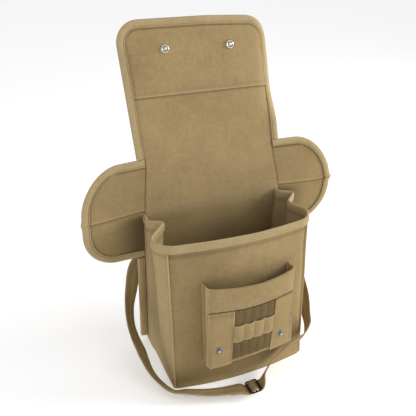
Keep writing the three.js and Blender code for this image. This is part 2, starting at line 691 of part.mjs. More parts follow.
// The strap's route from the left rear seam round the front to the right rear seam. x is a share of
// backHalf, y of backDepth, z of bodyHeight. wx, wy and wz point across the webbing.
const strapRoute = [
  { x: -0.606, y: 0.994, z: 0.903, wx: 0.80, wy: 0.06, wz: -0.60 },
  { x: -0.771, y: 1.013, z: 0.802, wx: 0.80, wy: 0.06, wz: -0.60 },
  { x: -0.936, y: 1.075, z: 0.700, wx: 0.75, wy: 0.00, wz: -0.66 },
  { x: -1.101, y: 1.119, z: 0.631, wx: 0.87, wy: 0.24, wz: -0.44 },
  { x: -1.212, y: 1.046, z: 0.445, wx: 0.85, wy: 0.40, wz: -0.35 },
  { x: -1.282, y: 0.807, z: 0.349, wx: 0.63, wy: 0.51, wz: -0.59 },
  { x: -1.314, y: 0.477, z: 0.281, wx: 0.57, wy: 0.49, wz: -0.66 },
  { x: -1.306, y: 0.165, z: 0.231, wx: 0.62, wy: 0.42, wz: -0.66 },
  { x: -1.281, y: -0.215, z: 0.194, wx: 0.66, wy: 0.47, wz: -0.59 },
  { x: -1.259, y: -0.393, z: 0.152, wx: 0.56, wy: 0.65, wz: -0.51 },
  { x: -1.214, y: -0.681, z: 0.093, wx: 0.46, wy: 0.64, wz: -0.62 },
  { x: -1.143, y: -0.954, z: 0.059, wx: 0.46, wy: 0.57, wz: -0.68 },
  { x: -1.020, y: -1.322, z: 0.040, wx: 0.45, wy: 0.62, wz: -0.65 },
  { x: -0.864, y: -1.463, z: 0.040, wx: 0.33, wy: 0.79, wz: -0.53 },
  { x: -0.582, y: -1.685, z: 0.033, wx: 0.28, wy: 0.87, wz: -0.41 },
  { x: -0.363, y: -1.805, z: 0.035, wx: 0.25, wy: 0.90, wz: -0.35 },
  { x: -0.206, y: -1.883, z: 0.040, wx: 0.27, wy: 0.93, wz: -0.25 },
  { x: -0.071, y: -1.961, z: 0.045, wx: 0.23, wy: 0.96, wz: -0.15 },
  { x: 0.034, y: -1.981, z: 0.053, wx: -0.05, wy: 0.93, wz: -0.37 },
  { x: 0.140, y: -1.884, z: 0.072, wx: -0.02, wy: 0.50, wz: -0.87 },
  { x: 0.268, y: -1.698, z: 0.086, wx: -0.03, wy: 0.40, wz: -0.92 },
  { x: 0.403, y: -1.526, z: 0.104, wx: 0.07, wy: 0.51, wz: -0.86 },
  { x: 0.560, y: -1.470, z: 0.148, wx: 0.10, wy: 0.57, wz: -0.81 },
  { x: 0.705, y: -1.413, z: 0.177, wx: 0.02, wy: 0.56, wz: -0.83 },
  { x: 0.860, y: -1.400, z: 0.196, wx: -0.15, wy: 0.42, wz: -0.89 },
  { x: 1.026, y: -1.180, z: 0.198, wx: -0.23, wy: 0.19, wz: -0.95 },
  { x: 1.173, y: -0.738, z: 0.178, wx: -0.20, wy: 0.20, wz: -0.96 },
  { x: 1.272, y: -0.294, z: 0.190, wx: -0.25, wy: 0.52, wz: -0.82 },
  { x: 1.352, y: 0.055, z: 0.209, wx: -0.27, wy: 0.53, wz: -0.80 },
  { x: 1.395, y: 0.404, z: 0.252, wx: -0.30, wy: 0.71, wz: -0.64 },
  { x: 1.327, y: 0.862, z: 0.422, wx: -0.47, wy: 0.67, wz: -0.58 },
  { x: 1.203, y: 1.259, z: 0.553, wx: -0.86, wy: 0.00, wz: -0.50 },
  { x: 0.982, y: 1.218, z: 0.684, wx: -0.81, wy: 0.00, wz: -0.59 },
  { x: 0.789, y: 1.118, z: 0.802, wx: -0.80, wy: 0.00, wz: -0.60 },
  { x: 0.624, y: 1.079, z: 0.903, wx: -0.80, wy: 0.00, wz: -0.60 },
];

const strapLine = new THREE.CatmullRomCurve3(
  strapRoute.map((row) => new THREE.Vector3(row.x * backHalf, row.y * backDepth, row.z * bodyHeight)),
  false,
  'centripetal',
);
strapLine.arcLengthDivisions = 2000;
const strapAcross = new THREE.CatmullRomCurve3(
  strapRoute.map((row) => new THREE.Vector3(row.wx, row.wy, row.wz).normalize()),
  false,
  'centripetal',
);
const strapLength = strapLine.getLength();
const slideAt = slidePlace * strapLength;
const straightFade = 12; // the strap bends back to its route over this length
const slideSpot = strapLine.getPointAt(slidePlace);
const slideRun = strapLine.getTangentAt(slidePlace);
const slideAcross = strapAcross.getPoint(strapLine.getUtoTmapping(slidePlace));
const weaveReach = slideWire / 2 + strapWall / 2 + seamGap + 0.15;
const barSpacing = (slideLength - slideWire) / 2;

// The strap's middle, direction, width and face at a distance along it. face points up on the floor.
// The strap runs straight through the slide and bends again on both sides of it.
function strapFrame(distance) {
  const t = strapLine.getUtoTmapping(distance / strapLength);
  const place = strapLine.getPoint(t);
  const tangent = strapLine.getTangent(t);
  const width = strapAcross.getPoint(t);
  const off = distance - slideAt;
  const pull = 1 - THREE.MathUtils.smoothstep(Math.abs(off), slideLength / 2, slideLength / 2 + straightFade);
  place.lerp(slideSpot.clone().addScaledVector(slideRun, off), pull);
  tangent.lerp(slideRun, pull).normalize();
  width.lerp(slideAcross, pull);
  width.addScaledVector(tangent, -width.dot(tangent)).normalize();
  return { place, tangent, width, face: new THREE.Vector3().crossVectors(tangent, width) };
}

// How far the strap stands off the slide's plane: under the outer bars, over the middle one.
function weaveAt(distance) {
  const along = Math.abs(distance - slideAt) / barSpacing;
  if (along < 1) return weaveReach * Math.cos(Math.PI * along);
  return -weaveReach * THREE.MathUtils.smoothstep(2 - along, 0, 1);
}

function strapSections(from, to, step, lift, shift) {
  const [w, h] = [strapWidth / 2, strapWall / 2];
  const corners = [[-w, -h], [w, -h], [w, h], [-w, h]];
  const count = Math.round((to - from) / step);
  return spread(from, to, count).map((distance) => {
    const { place, width, face } = strapFrame(distance);
    const height = weaveAt(distance) + lift;
    return corners.map(([a, b]) =>
      place.clone().addScaledVector(width, a + shift).addScaledVector(face, b + height));
  });
}

const strapSection = [[-1, -1], [1, -1], [1, 1], [-1, 1]].map(([a, b]) => new THREE.Vector2(a, b));

function shoulderStrap() {
  const near = 2 * barSpacing;
  const rings = [
    ...strapSections(0, slideAt - near, strapStep, 0, 0).slice(0, -1),
    ...strapSections(slideAt - near, slideAt + near, 1.3, 0, 0),
    ...strapSections(slideAt + near, strapLength, strapStep, 0, 0).slice(1),
  ];
  return sweptSolid(rings, strapSection);
}

// The strap's free end, doubled back under it on the left of the slide.
function strapTail() {
  const from = slideAt - slideLength / 2 - tailLength;
  const rings = strapSections(from, from + tailLength, 2.6, -strapWall - tailGap, tailShift);
  return sweptSolid(rings, strapSection);
}

// Three-bar slide: a rounded plate with two slots, laid in the strap's own plane.
function strapSlide() {
  const halfAcross = strapWidth / 2 + slidePlay + slideWire;
  const halfAlong = slideLength / 2;
  const bend = 2.5;
  const corner = (signX, signY, start) => spread(start, start + Math.PI / 2, 4).map((angle) => {
    const x = signX * (halfAlong - bend) + bend * Math.cos(angle);
    const y = signY * (halfAcross - bend) + bend * Math.sin(angle);
    return new THREE.Vector2(x, y);
  });
  const plate = new THREE.Shape([
    ...corner(1, -1, -Math.PI / 2),
    ...corner(1, 1, 0),
    ...corner(-1, 1, Math.PI / 2),
    ...corner(-1, -1, Math.PI),
  ]);
  for (const side of [-1, 1]) {
    const [low, high] = [slideWire / 2, barSpacing - slideWire / 2].map((d) => side * d);
    const end = halfAcross - slideWire + side * 0.05;
    plate.holes.push(new THREE.Path([[low, -end], [high, -end], [high, end], [low, end]]
      .map(([a, b]) => new THREE.Vector2(a, b))));
  }
  const geometry = new THREE.ExtrudeGeometry(plate, { depth: slideWire, bevelEnabled: false });
  geometry.translate(0, 0, -slideWire / 2);
  const { place, tangent, width, face } = strapFrame(slideAt);
  geometry.applyMatrix4(new THREE.Matrix4().makeBasis(tangent, width, face).setPosition(place));
  return geometry;
}

// Panels of the pocket's face

// The tabs on the pocket's face. The left one starts at the pocket's left edge, and the right one, which
// is a little narrower, ends at its right edge.
const tabHigh = pocketTop - hemDrop - layerStep;
const tabReach = pocketHalf - tabInset;
const pocketTabs = [
  { name: 'left_tab', low: -tabReach, high: -tabReach + tabWidth },
  { name: 'right_tab', low: tabReach - tabWidth + tabPinch, high: tabReach },
];
const penLow = pocketTabs[0].high + seamGap;
const penHigh = pocketTabs[1].low - seamGap;

function penBacking() {
  const ribs = (share) => penRib * Math.abs(Math.sin(Math.PI * penRibs * share));
  const [low, high] = [penLow, penHigh].map((a) => pocketShift + a);
  return pocketLayer(low, high, pocketBase + penFoot, tabHigh, seamGap, penWall, penRibs * 4, 4, ribs);
}

// The strip of pen loops: held down along its ends and between the pens, swelling over each pen.
function penStrip() {
  const puff = (share) => stripPuff * Math.abs(Math.sin(Math.PI * stripLoops * share));
  const [low, high] = [penLow, penHigh].map((a) => pocketShift + a);
  const under = seamGap + penWall + penRib + seamGap;
  return pocketLayer(low + 0.5, high - 0.5, stripLow, stripHigh, under, stripWall, stripLoops * 6, 4, puff);
}

function flapSnapPlace(side, depth) {
  const v = flapEnd - flapSnap;
  return sheetPoint(driftAt(v) + flapSnapShift + (side * snapSpacing) / 2, v, depth);
}

addPiece('back_and_flap', backAndFlap(), canvasCloth);
addPiece('flap_facing', flapFacing(), canvasCloth);
addPiece('flap_binding', bindingOn(flapOutline(), sheetPoint, bandWidth), bindingCloth);
for (const [name, sign] of [['left', -1], ['right', 1]]) {
  addPiece(`${name}_back_binding`, bindingOn(flangeOutline(sign), sheetPoint, bandWidth), bindingCloth);
}
for (const shape of wingShapes) {
  addPiece(`${shape.name}_wing`, wingPanel(shape), canvasCloth);
  addPiece(`${shape.name}_wing_binding`, wingBinding(shape), bindingCloth);
}

addPiece('left_gusset', bodyWall(0, seamIndex), canvasCloth);
addPiece('front_panel', bodyWall(seamIndex, rightSeamIndex), canvasCloth);
addPiece('right_gusset', bodyWall(rightSeamIndex, chainLength - 1), canvasCloth);
addPiece('base', basePanel(), canvasCloth);
addPiece('mouth_binding', mouthBinding(), bindingCloth);
addPiece('left_welt', frontWelt(seamIndex), bindingCloth);
addPiece('right_welt', frontWelt(rightSeamIndex), bindingCloth);

addPiece('pocket', pocketShell(), canvasCloth);
addPiece('pocket_floor', pocketFloor(), canvasCloth);
const hemReach = pocketHalf - pocketCorner - 1;
const hemLow = pocketTop - hemDrop;
const hemSpan = [pocketShift - hemReach, pocketShift + hemReach];
addPiece('pocket_hem', pocketLayer(...hemSpan, hemLow, pocketTop, seamGap, hemWall, 12, 4), canvasCloth);
for (const tab of pocketTabs) {
  const [low, high] = [pocketShift + tab.low, pocketShift + tab.high];
  addPiece(tab.name, pocketLayer(low, high, pocketBase, tabHigh, seamGap, tabWall, 5, 5), canvasCloth);
}
addPiece('pen_backing', penBacking(), shadeCloth);
addPiece('pen_strip', penStrip(), canvasCloth);

const outOfFlap = new THREE.Vector3(0, -Math.cos(lean), Math.sin(lean));
for (const [name, side] of [['left', -1], ['right', 1]]) {
  const x = pocketShift - pocketSnapShift + (side * snapSpacing) / 2;
  const outOfTab = pocketNormal(x, pocketSnap);
  const studPlace = new THREE.Vector3(x, pocketSkin(x, pocketSnap), pocketSnap)
    .addScaledVector(outOfTab, 2 * seamGap + tabWall + 0.2);
  addPiece(`${name}_snap_stud`, snapPart(studProfile, studPlace, outOfTab), nickel);
  const socketPlace = flapSnapPlace(side, canvas / 2 + seamGap + facingWall + seamGap);
  addPiece(`${name}_snap_socket`, snapPart(socketProfile, socketPlace, outOfFlap), nickel);
  const capPlace = flapSnapPlace(side, -canvas / 2 - seamGap);
  addPiece(`${name}_snap_cap`, snapPart(capProfile, capPlace, outOfFlap.clone().negate()), nickel);
}

addPiece('shoulder_strap', shoulderStrap(), webbing);
addPiece('strap_tail', strapTail(), webbing);
addPiece('strap_slide', strapSlide(), blackSteel);

export default caseGroup;
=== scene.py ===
"""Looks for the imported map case: a khaki canvas shoulder case that stands open on its base.

Each sub-assembly is a class that lays its cloth on the surfaces of the solids that it stands for.
Lengths are in metres, +X points right, +Y back and +Z up. The front faces -Y.
"""

import logging
import math
from collections.abc import Callable, Sequence
from dataclasses import dataclass, field
from enum import Enum

import bpy
import numpy as np
from mathutils import Matrix, Vector, noise


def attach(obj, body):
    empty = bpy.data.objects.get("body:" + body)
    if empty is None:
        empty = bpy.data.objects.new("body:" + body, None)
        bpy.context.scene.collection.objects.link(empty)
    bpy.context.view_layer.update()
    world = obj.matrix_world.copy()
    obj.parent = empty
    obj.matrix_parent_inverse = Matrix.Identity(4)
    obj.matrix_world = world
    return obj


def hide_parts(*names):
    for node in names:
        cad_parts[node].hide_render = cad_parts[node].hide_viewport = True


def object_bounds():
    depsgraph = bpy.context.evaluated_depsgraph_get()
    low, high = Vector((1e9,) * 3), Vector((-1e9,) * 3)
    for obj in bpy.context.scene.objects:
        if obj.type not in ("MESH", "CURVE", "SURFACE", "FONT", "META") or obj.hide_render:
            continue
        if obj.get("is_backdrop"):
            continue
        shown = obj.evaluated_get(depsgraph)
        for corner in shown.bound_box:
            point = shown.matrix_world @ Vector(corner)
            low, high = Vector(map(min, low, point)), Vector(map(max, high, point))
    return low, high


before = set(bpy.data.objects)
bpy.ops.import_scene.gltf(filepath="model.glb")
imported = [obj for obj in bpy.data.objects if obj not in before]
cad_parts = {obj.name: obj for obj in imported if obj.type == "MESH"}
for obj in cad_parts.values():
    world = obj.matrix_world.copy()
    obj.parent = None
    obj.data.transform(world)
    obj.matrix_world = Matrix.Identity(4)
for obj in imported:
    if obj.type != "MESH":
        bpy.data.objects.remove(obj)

logging.basicConfig(level=logging.INFO, format="%(message)s")
LOG = logging.getLogger("map_case")

MM = 0.001
CLOTH_UV = "cloth"
# Name of the attribute with each piece's wear and the light and shade painted on it.
WEAR_AND_PAINTED_SHADING = "rub"
PICTURE_SIDE = 416

Rows = list[list[Vector]]
Lay = Callable[[float, float, float], Vector]
Piece = bpy.types.Object
Tree = bpy.types.NodeTree
Socket = bpy.types.NodeSocket
Shade = Callable[[float, float], float]
Material = bpy.types.Material
Spot = tuple[float, float, float]
Pairs = Sequence[tuple[float, float]]


class Side(Enum):
    """The two sides of the case, with the sign of X on each."""

    LEFT = -1
    RIGHT = 1

    @property
    def word(self) -> str:
        """The side's name as the nodes spell it."""
        return self.name.lower()


class Slot(Enum):
    """The record's material slots."""

    CANVAS = "canvas"
    BINDING = "binding"
    PEN_CLOTH = "pen_cloth"
    WEBBING = "webbing"
    SNAP = "snap_nickel"
    SLIDE = "slide_steel"


def mix(low: float, high: float, share: float) -> float:
    """The value at a share of the way from low to high."""
    return low + (high - low) * share


def spread(low: float, high: float, steps: int) -> list[float]:
    """Evenly spaced values from low to high, both included."""
    return [mix(low, high, i / steps) for i in range(steps + 1)]


def clamp(value: float, low: float = 0.0, high: float = 1.0) -> float:
    """The value held between low and high."""
    return max(low, min(high, value))


def ease(value: float, low: float, high: float) -> float:
    """A smooth step from 0 at low to 1 at high."""
    share = clamp((value - low) / (high - low))
    return share * share * (3 - 2 * share)


def hump(value: float, centre: float, width: float) -> float:
    """A bell of height 1 about centre."""
    return math.exp(-(((value - centre) / width) ** 2))


@dataclass(frozen=True)
class Crumple:
    """Soft unevenness of worn cloth: the sum of a long and a short wave."""

    long_height: float
    long_wave: float
    short_height: float
    short_wave: float
    seed: float

    def at(self, x: float, y: float, z: float) -> float:
        """Height of the unevenness at a place, in metres."""
        long_spot = Vector((x, y, z)) / self.long_wave + Vector((self.seed, 0.0, 0.0))
        short_spot = Vector((x, y, z)) / self.short_wave + Vector((0.0, self.seed, 0.0))
        long_part = self.long_height * noise.noise(long_spot)
        return long_part + self.short_height * noise.noise(short_spot)


# Meshes


def deselect_all() -> None:
    """Clears the selection, so that an operator acts on the new piece alone."""
    bpy.ops.object.select_all(action="DESELECT")


def make_active(piece: Piece) -> None:
    """Selects one piece alone and makes it active."""
    deselect_all()
    piece.select_set(True)
    bpy.context.view_layer.objects.active = piece


def add_modifier(piece: Piece, kind: str, **settings: object) -> None:
    """Adds a modifier to a piece and applies it.

    Args:
        piece: the mesh object.
        kind: the modifier's type, such as SOLIDIFY.
        settings: the modifier's values by name.
    """
    make_active(piece)
    modifier = piece.modifiers.new(kind.title(), kind)
    for name, value in settings.items():
        setattr(modifier, name, value)
    bpy.ops.object.modifier_apply(modifier=modifier.name)


def put_in_scene(name: str, data: bpy.types.ID) -> Piece:
    """A new object in the scene for a mesh, light or camera."""
    piece = bpy.data.objects.new(name, data)
    bpy.context.scene.collection.objects.link(piece)
    return piece


def run_lengths(points: np.ndarray) -> np.ndarray:
    """Distances along each row of points from the row's first one."""
    steps = np.linalg.norm(np.diff(points, axis=1), axis=2)
    return np.concatenate([np.zeros((len(points), 1)), np.cumsum(steps, axis=1)], axis=1)


def run_length(points: np.ndarray) -> np.ndarray:
    """Distances along one row of points from its first one."""
    return run_lengths(points[np.newaxis])[0]


def cloth_grid(name: str, rows: Rows) -> Piece:
    """Adds a grid and lays it on rows of points, with a map in millimetres of cloth.

    Args:
        name: the new object's name.
        rows: rows of equally many points, left to right and bottom to top.

    Returns:
        The mesh object, its place in its mesh.
    """
    deselect_all()
    columns = len(rows[0]) - 1
    bpy.ops.mesh.primitive_grid_add(x_subdivisions=columns, y_subdivisions=len(rows) - 1, size=1)
    piece = bpy.context.object
    piece.name = piece.data.name = name
    points = np.array([[tuple(p) for p in row] for row in rows], float)
    piece.data.vertices.foreach_set("co", points.ravel())
    across = run_lengths(points)
    across -= across[:, -1:] / 2
    along = run_lengths(points.transpose(1, 0, 2)).T
    along = np.repeat(along.mean(axis=1, keepdims=True), columns + 1, axis=1)
    flat = np.stack([across, along], axis=2).reshape(-1, 2) / MM
    while piece.data.uv_layers:
        piece.data.uv_layers.remove(piece.data.uv_layers[0])
    layer = piece.data.uv_layers.new(name=CLOTH_UV)
    corners = np.zeros(len(piece.data.loops), int)
    piece.data.loops.foreach_get("vertex_index", corners)
    layer.data.foreach_set("uv", flat[corners].ravel())
    piece.data.update()
    return piece


def mark_wear_and_painted_shading(piece: Piece, shade: Shade) -> None:
    """Writes how worn or soiled the cloth is and where light and shade are painted on it, from -1, dark, to
    1, pale.

    Args:
        piece: a grid from cloth_grid.
        shade: gives the value for a place on the piece's own map, in millimetres.
    """
    layer = piece.data.uv_layers[CLOTH_UV]
    values = np.zeros(len(piece.data.vertices), np.float32)
    for loop in piece.data.loops:
        spot = layer.data[loop.index].uv
        values[loop.vertex_index] = shade(spot.x, spot.y)
    mark_rows(piece, [values])


def mark_rows(piece: Piece, values: Sequence[Sequence[float]]) -> None:
    """Writes how worn or soiled a grid is and where light and shade are painted on it, from rows of values
    in the order of its points.
    """
    attribute = piece.data.attributes.new(WEAR_AND_PAINTED_SHADING, "FLOAT", "POINT")
    attribute.data.foreach_set("value", np.array(values, np.float32).ravel())


def thicken(piece: Piece, wall: float, rounding: float) -> None:
    """Turns a grid into a closed wall with rounded edges.

    Args:
        piece: a grid from cloth_grid.
        wall: the wall's thickness.
        rounding: the edges' radius.
    """
    add_modifier(piece, "SOLIDIFY", thickness=wall, offset=0, use_even_offset=True)
    round_edges(piece, rounding)
    shade_smooth(piece)


def round_edges(piece: Piece, rounding: float) -> None:
    """Rounds a piece's sharp edges."""
    limit = math.radians(55)
    add_modifier(piece, "BEVEL", width=rounding, segments=2, limit_method="ANGLE", angle_limit=limit)


def shade_smooth(piece: Piece, degrees: float = 60.0) -> None:
    """Shades a piece smooth up to an angle."""
    make_active(piece)
    bpy.ops.object.shade_smooth_by_angle(angle=math.radians(degrees))


def close_tube(piece: Piece) -> None:
    """Joins the long edges of a grid that was laid round a section, and fills its two ends."""
    make_active(piece)
    bpy.ops.object.mode_set(mode="EDIT")
    bpy.ops.mesh.select_all(action="SELECT")
    bpy.ops.mesh.remove_doubles(threshold=1e-6)
    bpy.ops.mesh.select_all(action="DESELECT")
    bpy.ops.mesh.select_non_manifold()
    bpy.ops.mesh.fill_holes(sides=0)
    bpy.ops.mesh.select_all(action="SELECT")
    bpy.ops.mesh.normals_make_consistent(inside=False)
    bpy.ops.object.mode_set(mode="OBJECT")
    shade_smooth(piece, 50.0)


def swept(name: str, rings: Rows) -> Piece:
    """A closed bar through rings of points.

    Args:
        name: the new object's name.
        rings: closed sections, without their first point repeated.

    Returns:
        The mesh object.
    """
    piece = cloth_grid(name, [[*ring, ring[0]] for ring in rings])
    close_tube(piece)
    return piece


def settle(piece: Piece, finish: Material, slot: Slot, *nodes: str) -> None:
    """Gives a finished piece its material, body and CAD nodes.

    Args:
        piece: the mesh object.
        finish: its material.
        slot: the record's slot that it belongs to; not used.
        nodes: the CAD nodes that it stands for.
    """
    piece.data.materials.clear()
    piece.data.materials.append(finish)
    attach(piece, "root")
    if nodes:
        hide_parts(*nodes)
    LOG.info("%s: %d faces", piece.name, len(piece.data.polygons))


# Materials


def linear(code: str) -> tuple[float, float, float, float]:
    """An sRGB hex colour as linear numbers with an alpha of 1."""
    shares = [int(code[i : i + 2], 16) / 255 for i in (0, 2, 4)]
    numbers = [s / 12.92 if s <= 0.04045 else ((s + 0.055) / 1.055) ** 2.4 for s in shares]
    return (*numbers, 1.0)


def add_node(
    tree: Tree,
    kind: str,
    settings: dict[str | int, object] | None = None,
    links: dict[str | int, Socket] | None = None,
) -> bpy.types.Node:
    """Adds one node with its settings and links.

    Args:
        tree: the node tree.
        kind: the node's type.
        settings: values by property name in lower case, or by socket name or number.
        links: output sockets by the name or number of the input that each one feeds.

    Returns:
        The new node.
    """
    node = tree.nodes.new(kind)
    for name, value in (settings or {}).items():
        if isinstance(name, str) and name.islower():
            setattr(node, name, value)
        else:
            node.inputs[name].default_value = value
    for name, source in (links or {}).items():
        tree.links.new(source, node.inputs[name])
    return node


def new_material(name: str) -> tuple[Material, Tree]:
    """An empty node material and its tree."""
    material = bpy.data.materials.new(name)
    material.use_nodes = True
    material.node_tree.nodes.clear()
    return material, material.node_tree


class Weave(Enum):
    """How the threads cross."""

    PLAIN = "plain"
    TWILL = "twill"
    HERRINGBONE = "herringbone"


@dataclass(frozen=True)
class WovenCotton:
    """Khaki cotton cloth, piece-dyed and matt.

    The eye sees thick and thin threads as short streaks both ways, cloudy fading over a hand's
    width, pale rubbed edges and dark seams. The threads stand up to a millimetre apart, drawn
    about twice as coarse as the real ones so that they show.
    """

    name: str
    shade: str
    tone: str
    # The pale and the dark colour that the rub attribute mixes in, for wear and for painted light and
    # shade.
    rubbed_and_lit: str
    soiled_and_shaded: str
    weave: Weave
    pitch: float
    relief: float
    roughness: float = 0.92
    sheen: float = 0.12
    streak: float = 0.5
    fading: float = 0.75
    creasing: float = 0.6
    contrast: float = 0.32
    band: float = 20.0

    def material(self) -> Material:
        """Builds the cloth's material on its map in millimetres."""
        material, tree = new_material(self.name)
        uv = add_node(tree, "ShaderNodeUVMap", {"uv_map": CLOTH_UV}).outputs["UV"]
        spot = add_node(tree, "ShaderNodeTexCoord").outputs["Object"]
        layers = [self.streaks(tree, uv)]
        for settings in (
            {"Scale": 16.0, "Detail": 5.0, "Roughness": 0.6},
            {"Scale": 150.0, "Detail": 6.0, "Roughness": 0.68, "Distortion": 0.5},
        ):
            grain = add_node(tree, "ShaderNodeTexNoise", settings, {"Vector": spot})
            layers.append(grain.outputs["Fac"])
        joined = add_node(tree, "ShaderNodeCombineXYZ", links=dict(enumerate(layers)))
        threads = self.threads(tree, uv)
        # How much streaks, fading, creases and threads count, in the dye and then in the relief
        sums = []
        for weights, thread_weight in (
            ((self.streak, self.fading, self.creasing), 0.10),
            ((1.8 * self.streak, 0.0, 3.0), 0.30),
        ):
            blend = add_node(
                tree,
                "ShaderNodeVectorMath",
                {"operation": "DOT_PRODUCT", 1: weights},
                {0: joined.outputs["Vector"]},
            )
            total = add_node(
                tree,
                "ShaderNodeMath",
                {"operation": "MULTIPLY_ADD", 1: thread_weight},
                {0: threads, 2: blend.outputs["Value"]},
            )
            sums.append(total.outputs["Value"])
        bump = add_node(
            tree, "ShaderNodeBump", {"Strength": 1.0, "Distance": self.relief}, {"Height": sums[1]}
        )
        shader = add_node(
            tree,
            "ShaderNodeBsdfPrincipled",
            {
                "Roughness": self.roughness,
                "Specular IOR Level": 0.25,
                "Sheen Weight": self.sheen,
                "Sheen Roughness": 0.5,
                "Sheen Tint": linear(self.rubbed_and_lit),
            },
            {"Base Color": self.colour(tree, sums[0]), "Normal": bump.outputs["Normal"]},
        )
        add_node(tree, "ShaderNodeOutputMaterial", links={"Surface": shader.outputs["BSDF"]})
        return material

    def threads(self, tree: Tree, uv: Socket) -> Socket:
        """The threads' height, from -1 to 1, for this cloth's weave.

        Args:
            tree: the node tree.
            uv: the map in millimetres.

        Returns:
            The socket that gives the height.
        """
        turn = math.pi / (self.pitch / MM)
        if self.weave is Weave.PLAIN:
            scaled = add_node(
                tree, "ShaderNodeVectorMath", {"operation": "SCALE", "Scale": turn}, {0: uv}
            )
            waves = add_node(
                tree, "ShaderNodeVectorMath", {"operation": "SINE"}, {0: scaled.outputs["Vector"]}
            )
            split = add_node(tree, "ShaderNodeSeparateXYZ", links={0: waves.outputs["Vector"]})
            both = {0: split.outputs["X"], 1: split.outputs["Y"]}
            return add_node(tree, "ShaderNodeMath", {"operation": "MULTIPLY"}, both).outputs["Value"]
        if self.weave is Weave.HERRINGBONE:
            split = add_node(tree, "ShaderNodeSeparateXYZ", links={0: uv})
            fold = {"operation": "PINGPONG", 1: self.band / 4}
            across = add_node(tree, "ShaderNodeMath", fold, {0: split.outputs["X"]})
            sides = {0: across.outputs["Value"], 1: split.outputs["Y"]}
            uv = add_node(tree, "ShaderNodeCombineXYZ", links=sides).outputs["Vector"]
        slant = {"operation": "DOT_PRODUCT", 1: (2 * turn, 2 * turn, 0.0)}
        diagonal = add_node(tree, "ShaderNodeVectorMath", slant, {0: uv}).outputs["Value"]
        return add_node(tree, "ShaderNodeMath", {"operation": "SINE"}, {0: diagonal}).outputs["Value"]

    def streaks(self, tree: Tree, uv: Socket) -> Socket:
        """Uneven threads both ways: noise drawn out along the warp and along the weft.

        Args:
            tree: the node tree.
            uv: the map in millimetres.

        Returns:
            The socket that gives their sum.
        """
        links = {}
        for i, scale in enumerate(((0.42, 0.035, 1.0), (0.045, 0.38, 1.0))):
            drawn = add_node(tree, "ShaderNodeMapping", {"Scale": scale}, {"Vector": uv})
            grain = add_node(
                tree,
                "ShaderNodeTexNoise",
                {"Scale": 1.0, "Detail": 4.0, "Roughness": 0.65},
                {"Vector": drawn.outputs["Vector"]},
            )
            links[i] = grain.outputs["Fac"]
        return add_node(tree, "ShaderNodeMath", {"operation": "ADD"}, links).outputs["Value"]

    def colour(self, tree: Tree, share: Socket) -> Socket:
        """The dye's colour, paler where rubbed and where light is painted, darker where soiled and where
        shade is painted.

        Args:
            tree: the node tree.
            share: the sum of the layers, from the dark shade to the light tone.

        Returns:
            The socket that gives the colour.
        """
        middle = 0.5 * (2 * self.streak + self.fading + self.creasing)
        ramp = add_node(
            tree,
            "ShaderNodeMapRange",
            {"From Min": middle - self.contrast, "From Max": middle + self.contrast},
            {"Value": share},
        )
        dye = add_node(
            tree,
            "ShaderNodeMix",
            {"data_type": "RGBA", 6: linear(self.shade), 7: linear(self.tone)},
            {0: ramp.outputs["Result"]},
        )
        # The rub attribute: wear, and the light and shade painted on the cloth.
        rub = add_node(tree, "ShaderNodeAttribute", {"attribute_name": WEAR_AND_PAINTED_SHADING}).outputs["Fac"]
        colour = dye.outputs[2]
        for worn, strength in ((self.rubbed_and_lit, 0.75), (self.soiled_and_shaded, -0.8)):
            factor = add_node(tree, "ShaderNodeMath", {"operation": "MULTIPLY", 1: strength}, {0: rub})
            layer = add_node(
                tree,
                "ShaderNodeMix",
                {"data_type": "RGBA", 7: linear(worn)},
                {0: factor.outputs["Value"], 6: colour},
            )
            colour = layer.outputs[2]
        return colour


@dataclass(frozen=True)
class SmithMetal:
    """Metal of a snap or slide, pressed and plated or blackened, a little scuffed by handling.

    The eye sees small sharp highlights, with a duller, slightly blotched look between them.
    """

    name: str
    bright: str
    dull: str
    tarnish: str
    roughness: float
    coat: float = 0.0

    def material(self) -> Material:
        """Builds the metal's material on Object coordinates."""
        material, tree = new_material(self.name)
        spot = add_node(tree, "ShaderNodeTexCoord").outputs["Object"]
        blotch = add_node(
            tree, "ShaderNodeTexNoise", {"Scale": 420.0, "Detail": 4.0}, {"Vector": spot}
        )
        colour = add_node(
            tree,
            "ShaderNodeMix",
            {"data_type": "RGBA", 6: linear(self.dull), 7: linear(self.bright)},
            {0: blotch.outputs["Fac"]},
        )
        wear = add_node(tree, "ShaderNodeAttribute", {"attribute_name": WEAR_AND_PAINTED_SHADING}).outputs["Fac"]
        aged = add_node(
            tree,
            "ShaderNodeMix",
            {"data_type": "RGBA", 7: linear(self.tarnish)},
            {0: wear, 6: colour.outputs[2]},
        )
        gloss = add_node(
            tree,
            "ShaderNodeMapRange",
            {"To Min": self.roughness * 0.75, "To Max": self.roughness * 1.3},
            {"Value": blotch.outputs["Fac"]},
        )
        scuff = add_node(
            tree,
            "ShaderNodeBump",
            {"Strength": 0.25, "Distance": 0.05 * MM},
            {"Height": blotch.outputs["Fac"]},
        )
        shader = add_node(
            tree,
            "ShaderNodeBsdfPrincipled",
            {"Metallic": 1.0, "Coat Weight": self.coat, "Coat Roughness": 0.15},
            {
                "Base Color": aged.outputs[2],
                "Roughness": gloss.outputs["Result"],
                "Normal": scuff.outputs["Normal"],
            },
        )
        add_node(tree, "ShaderNodeOutputMaterial", links={"Surface": shader.outputs["BSDF"]})
        return material


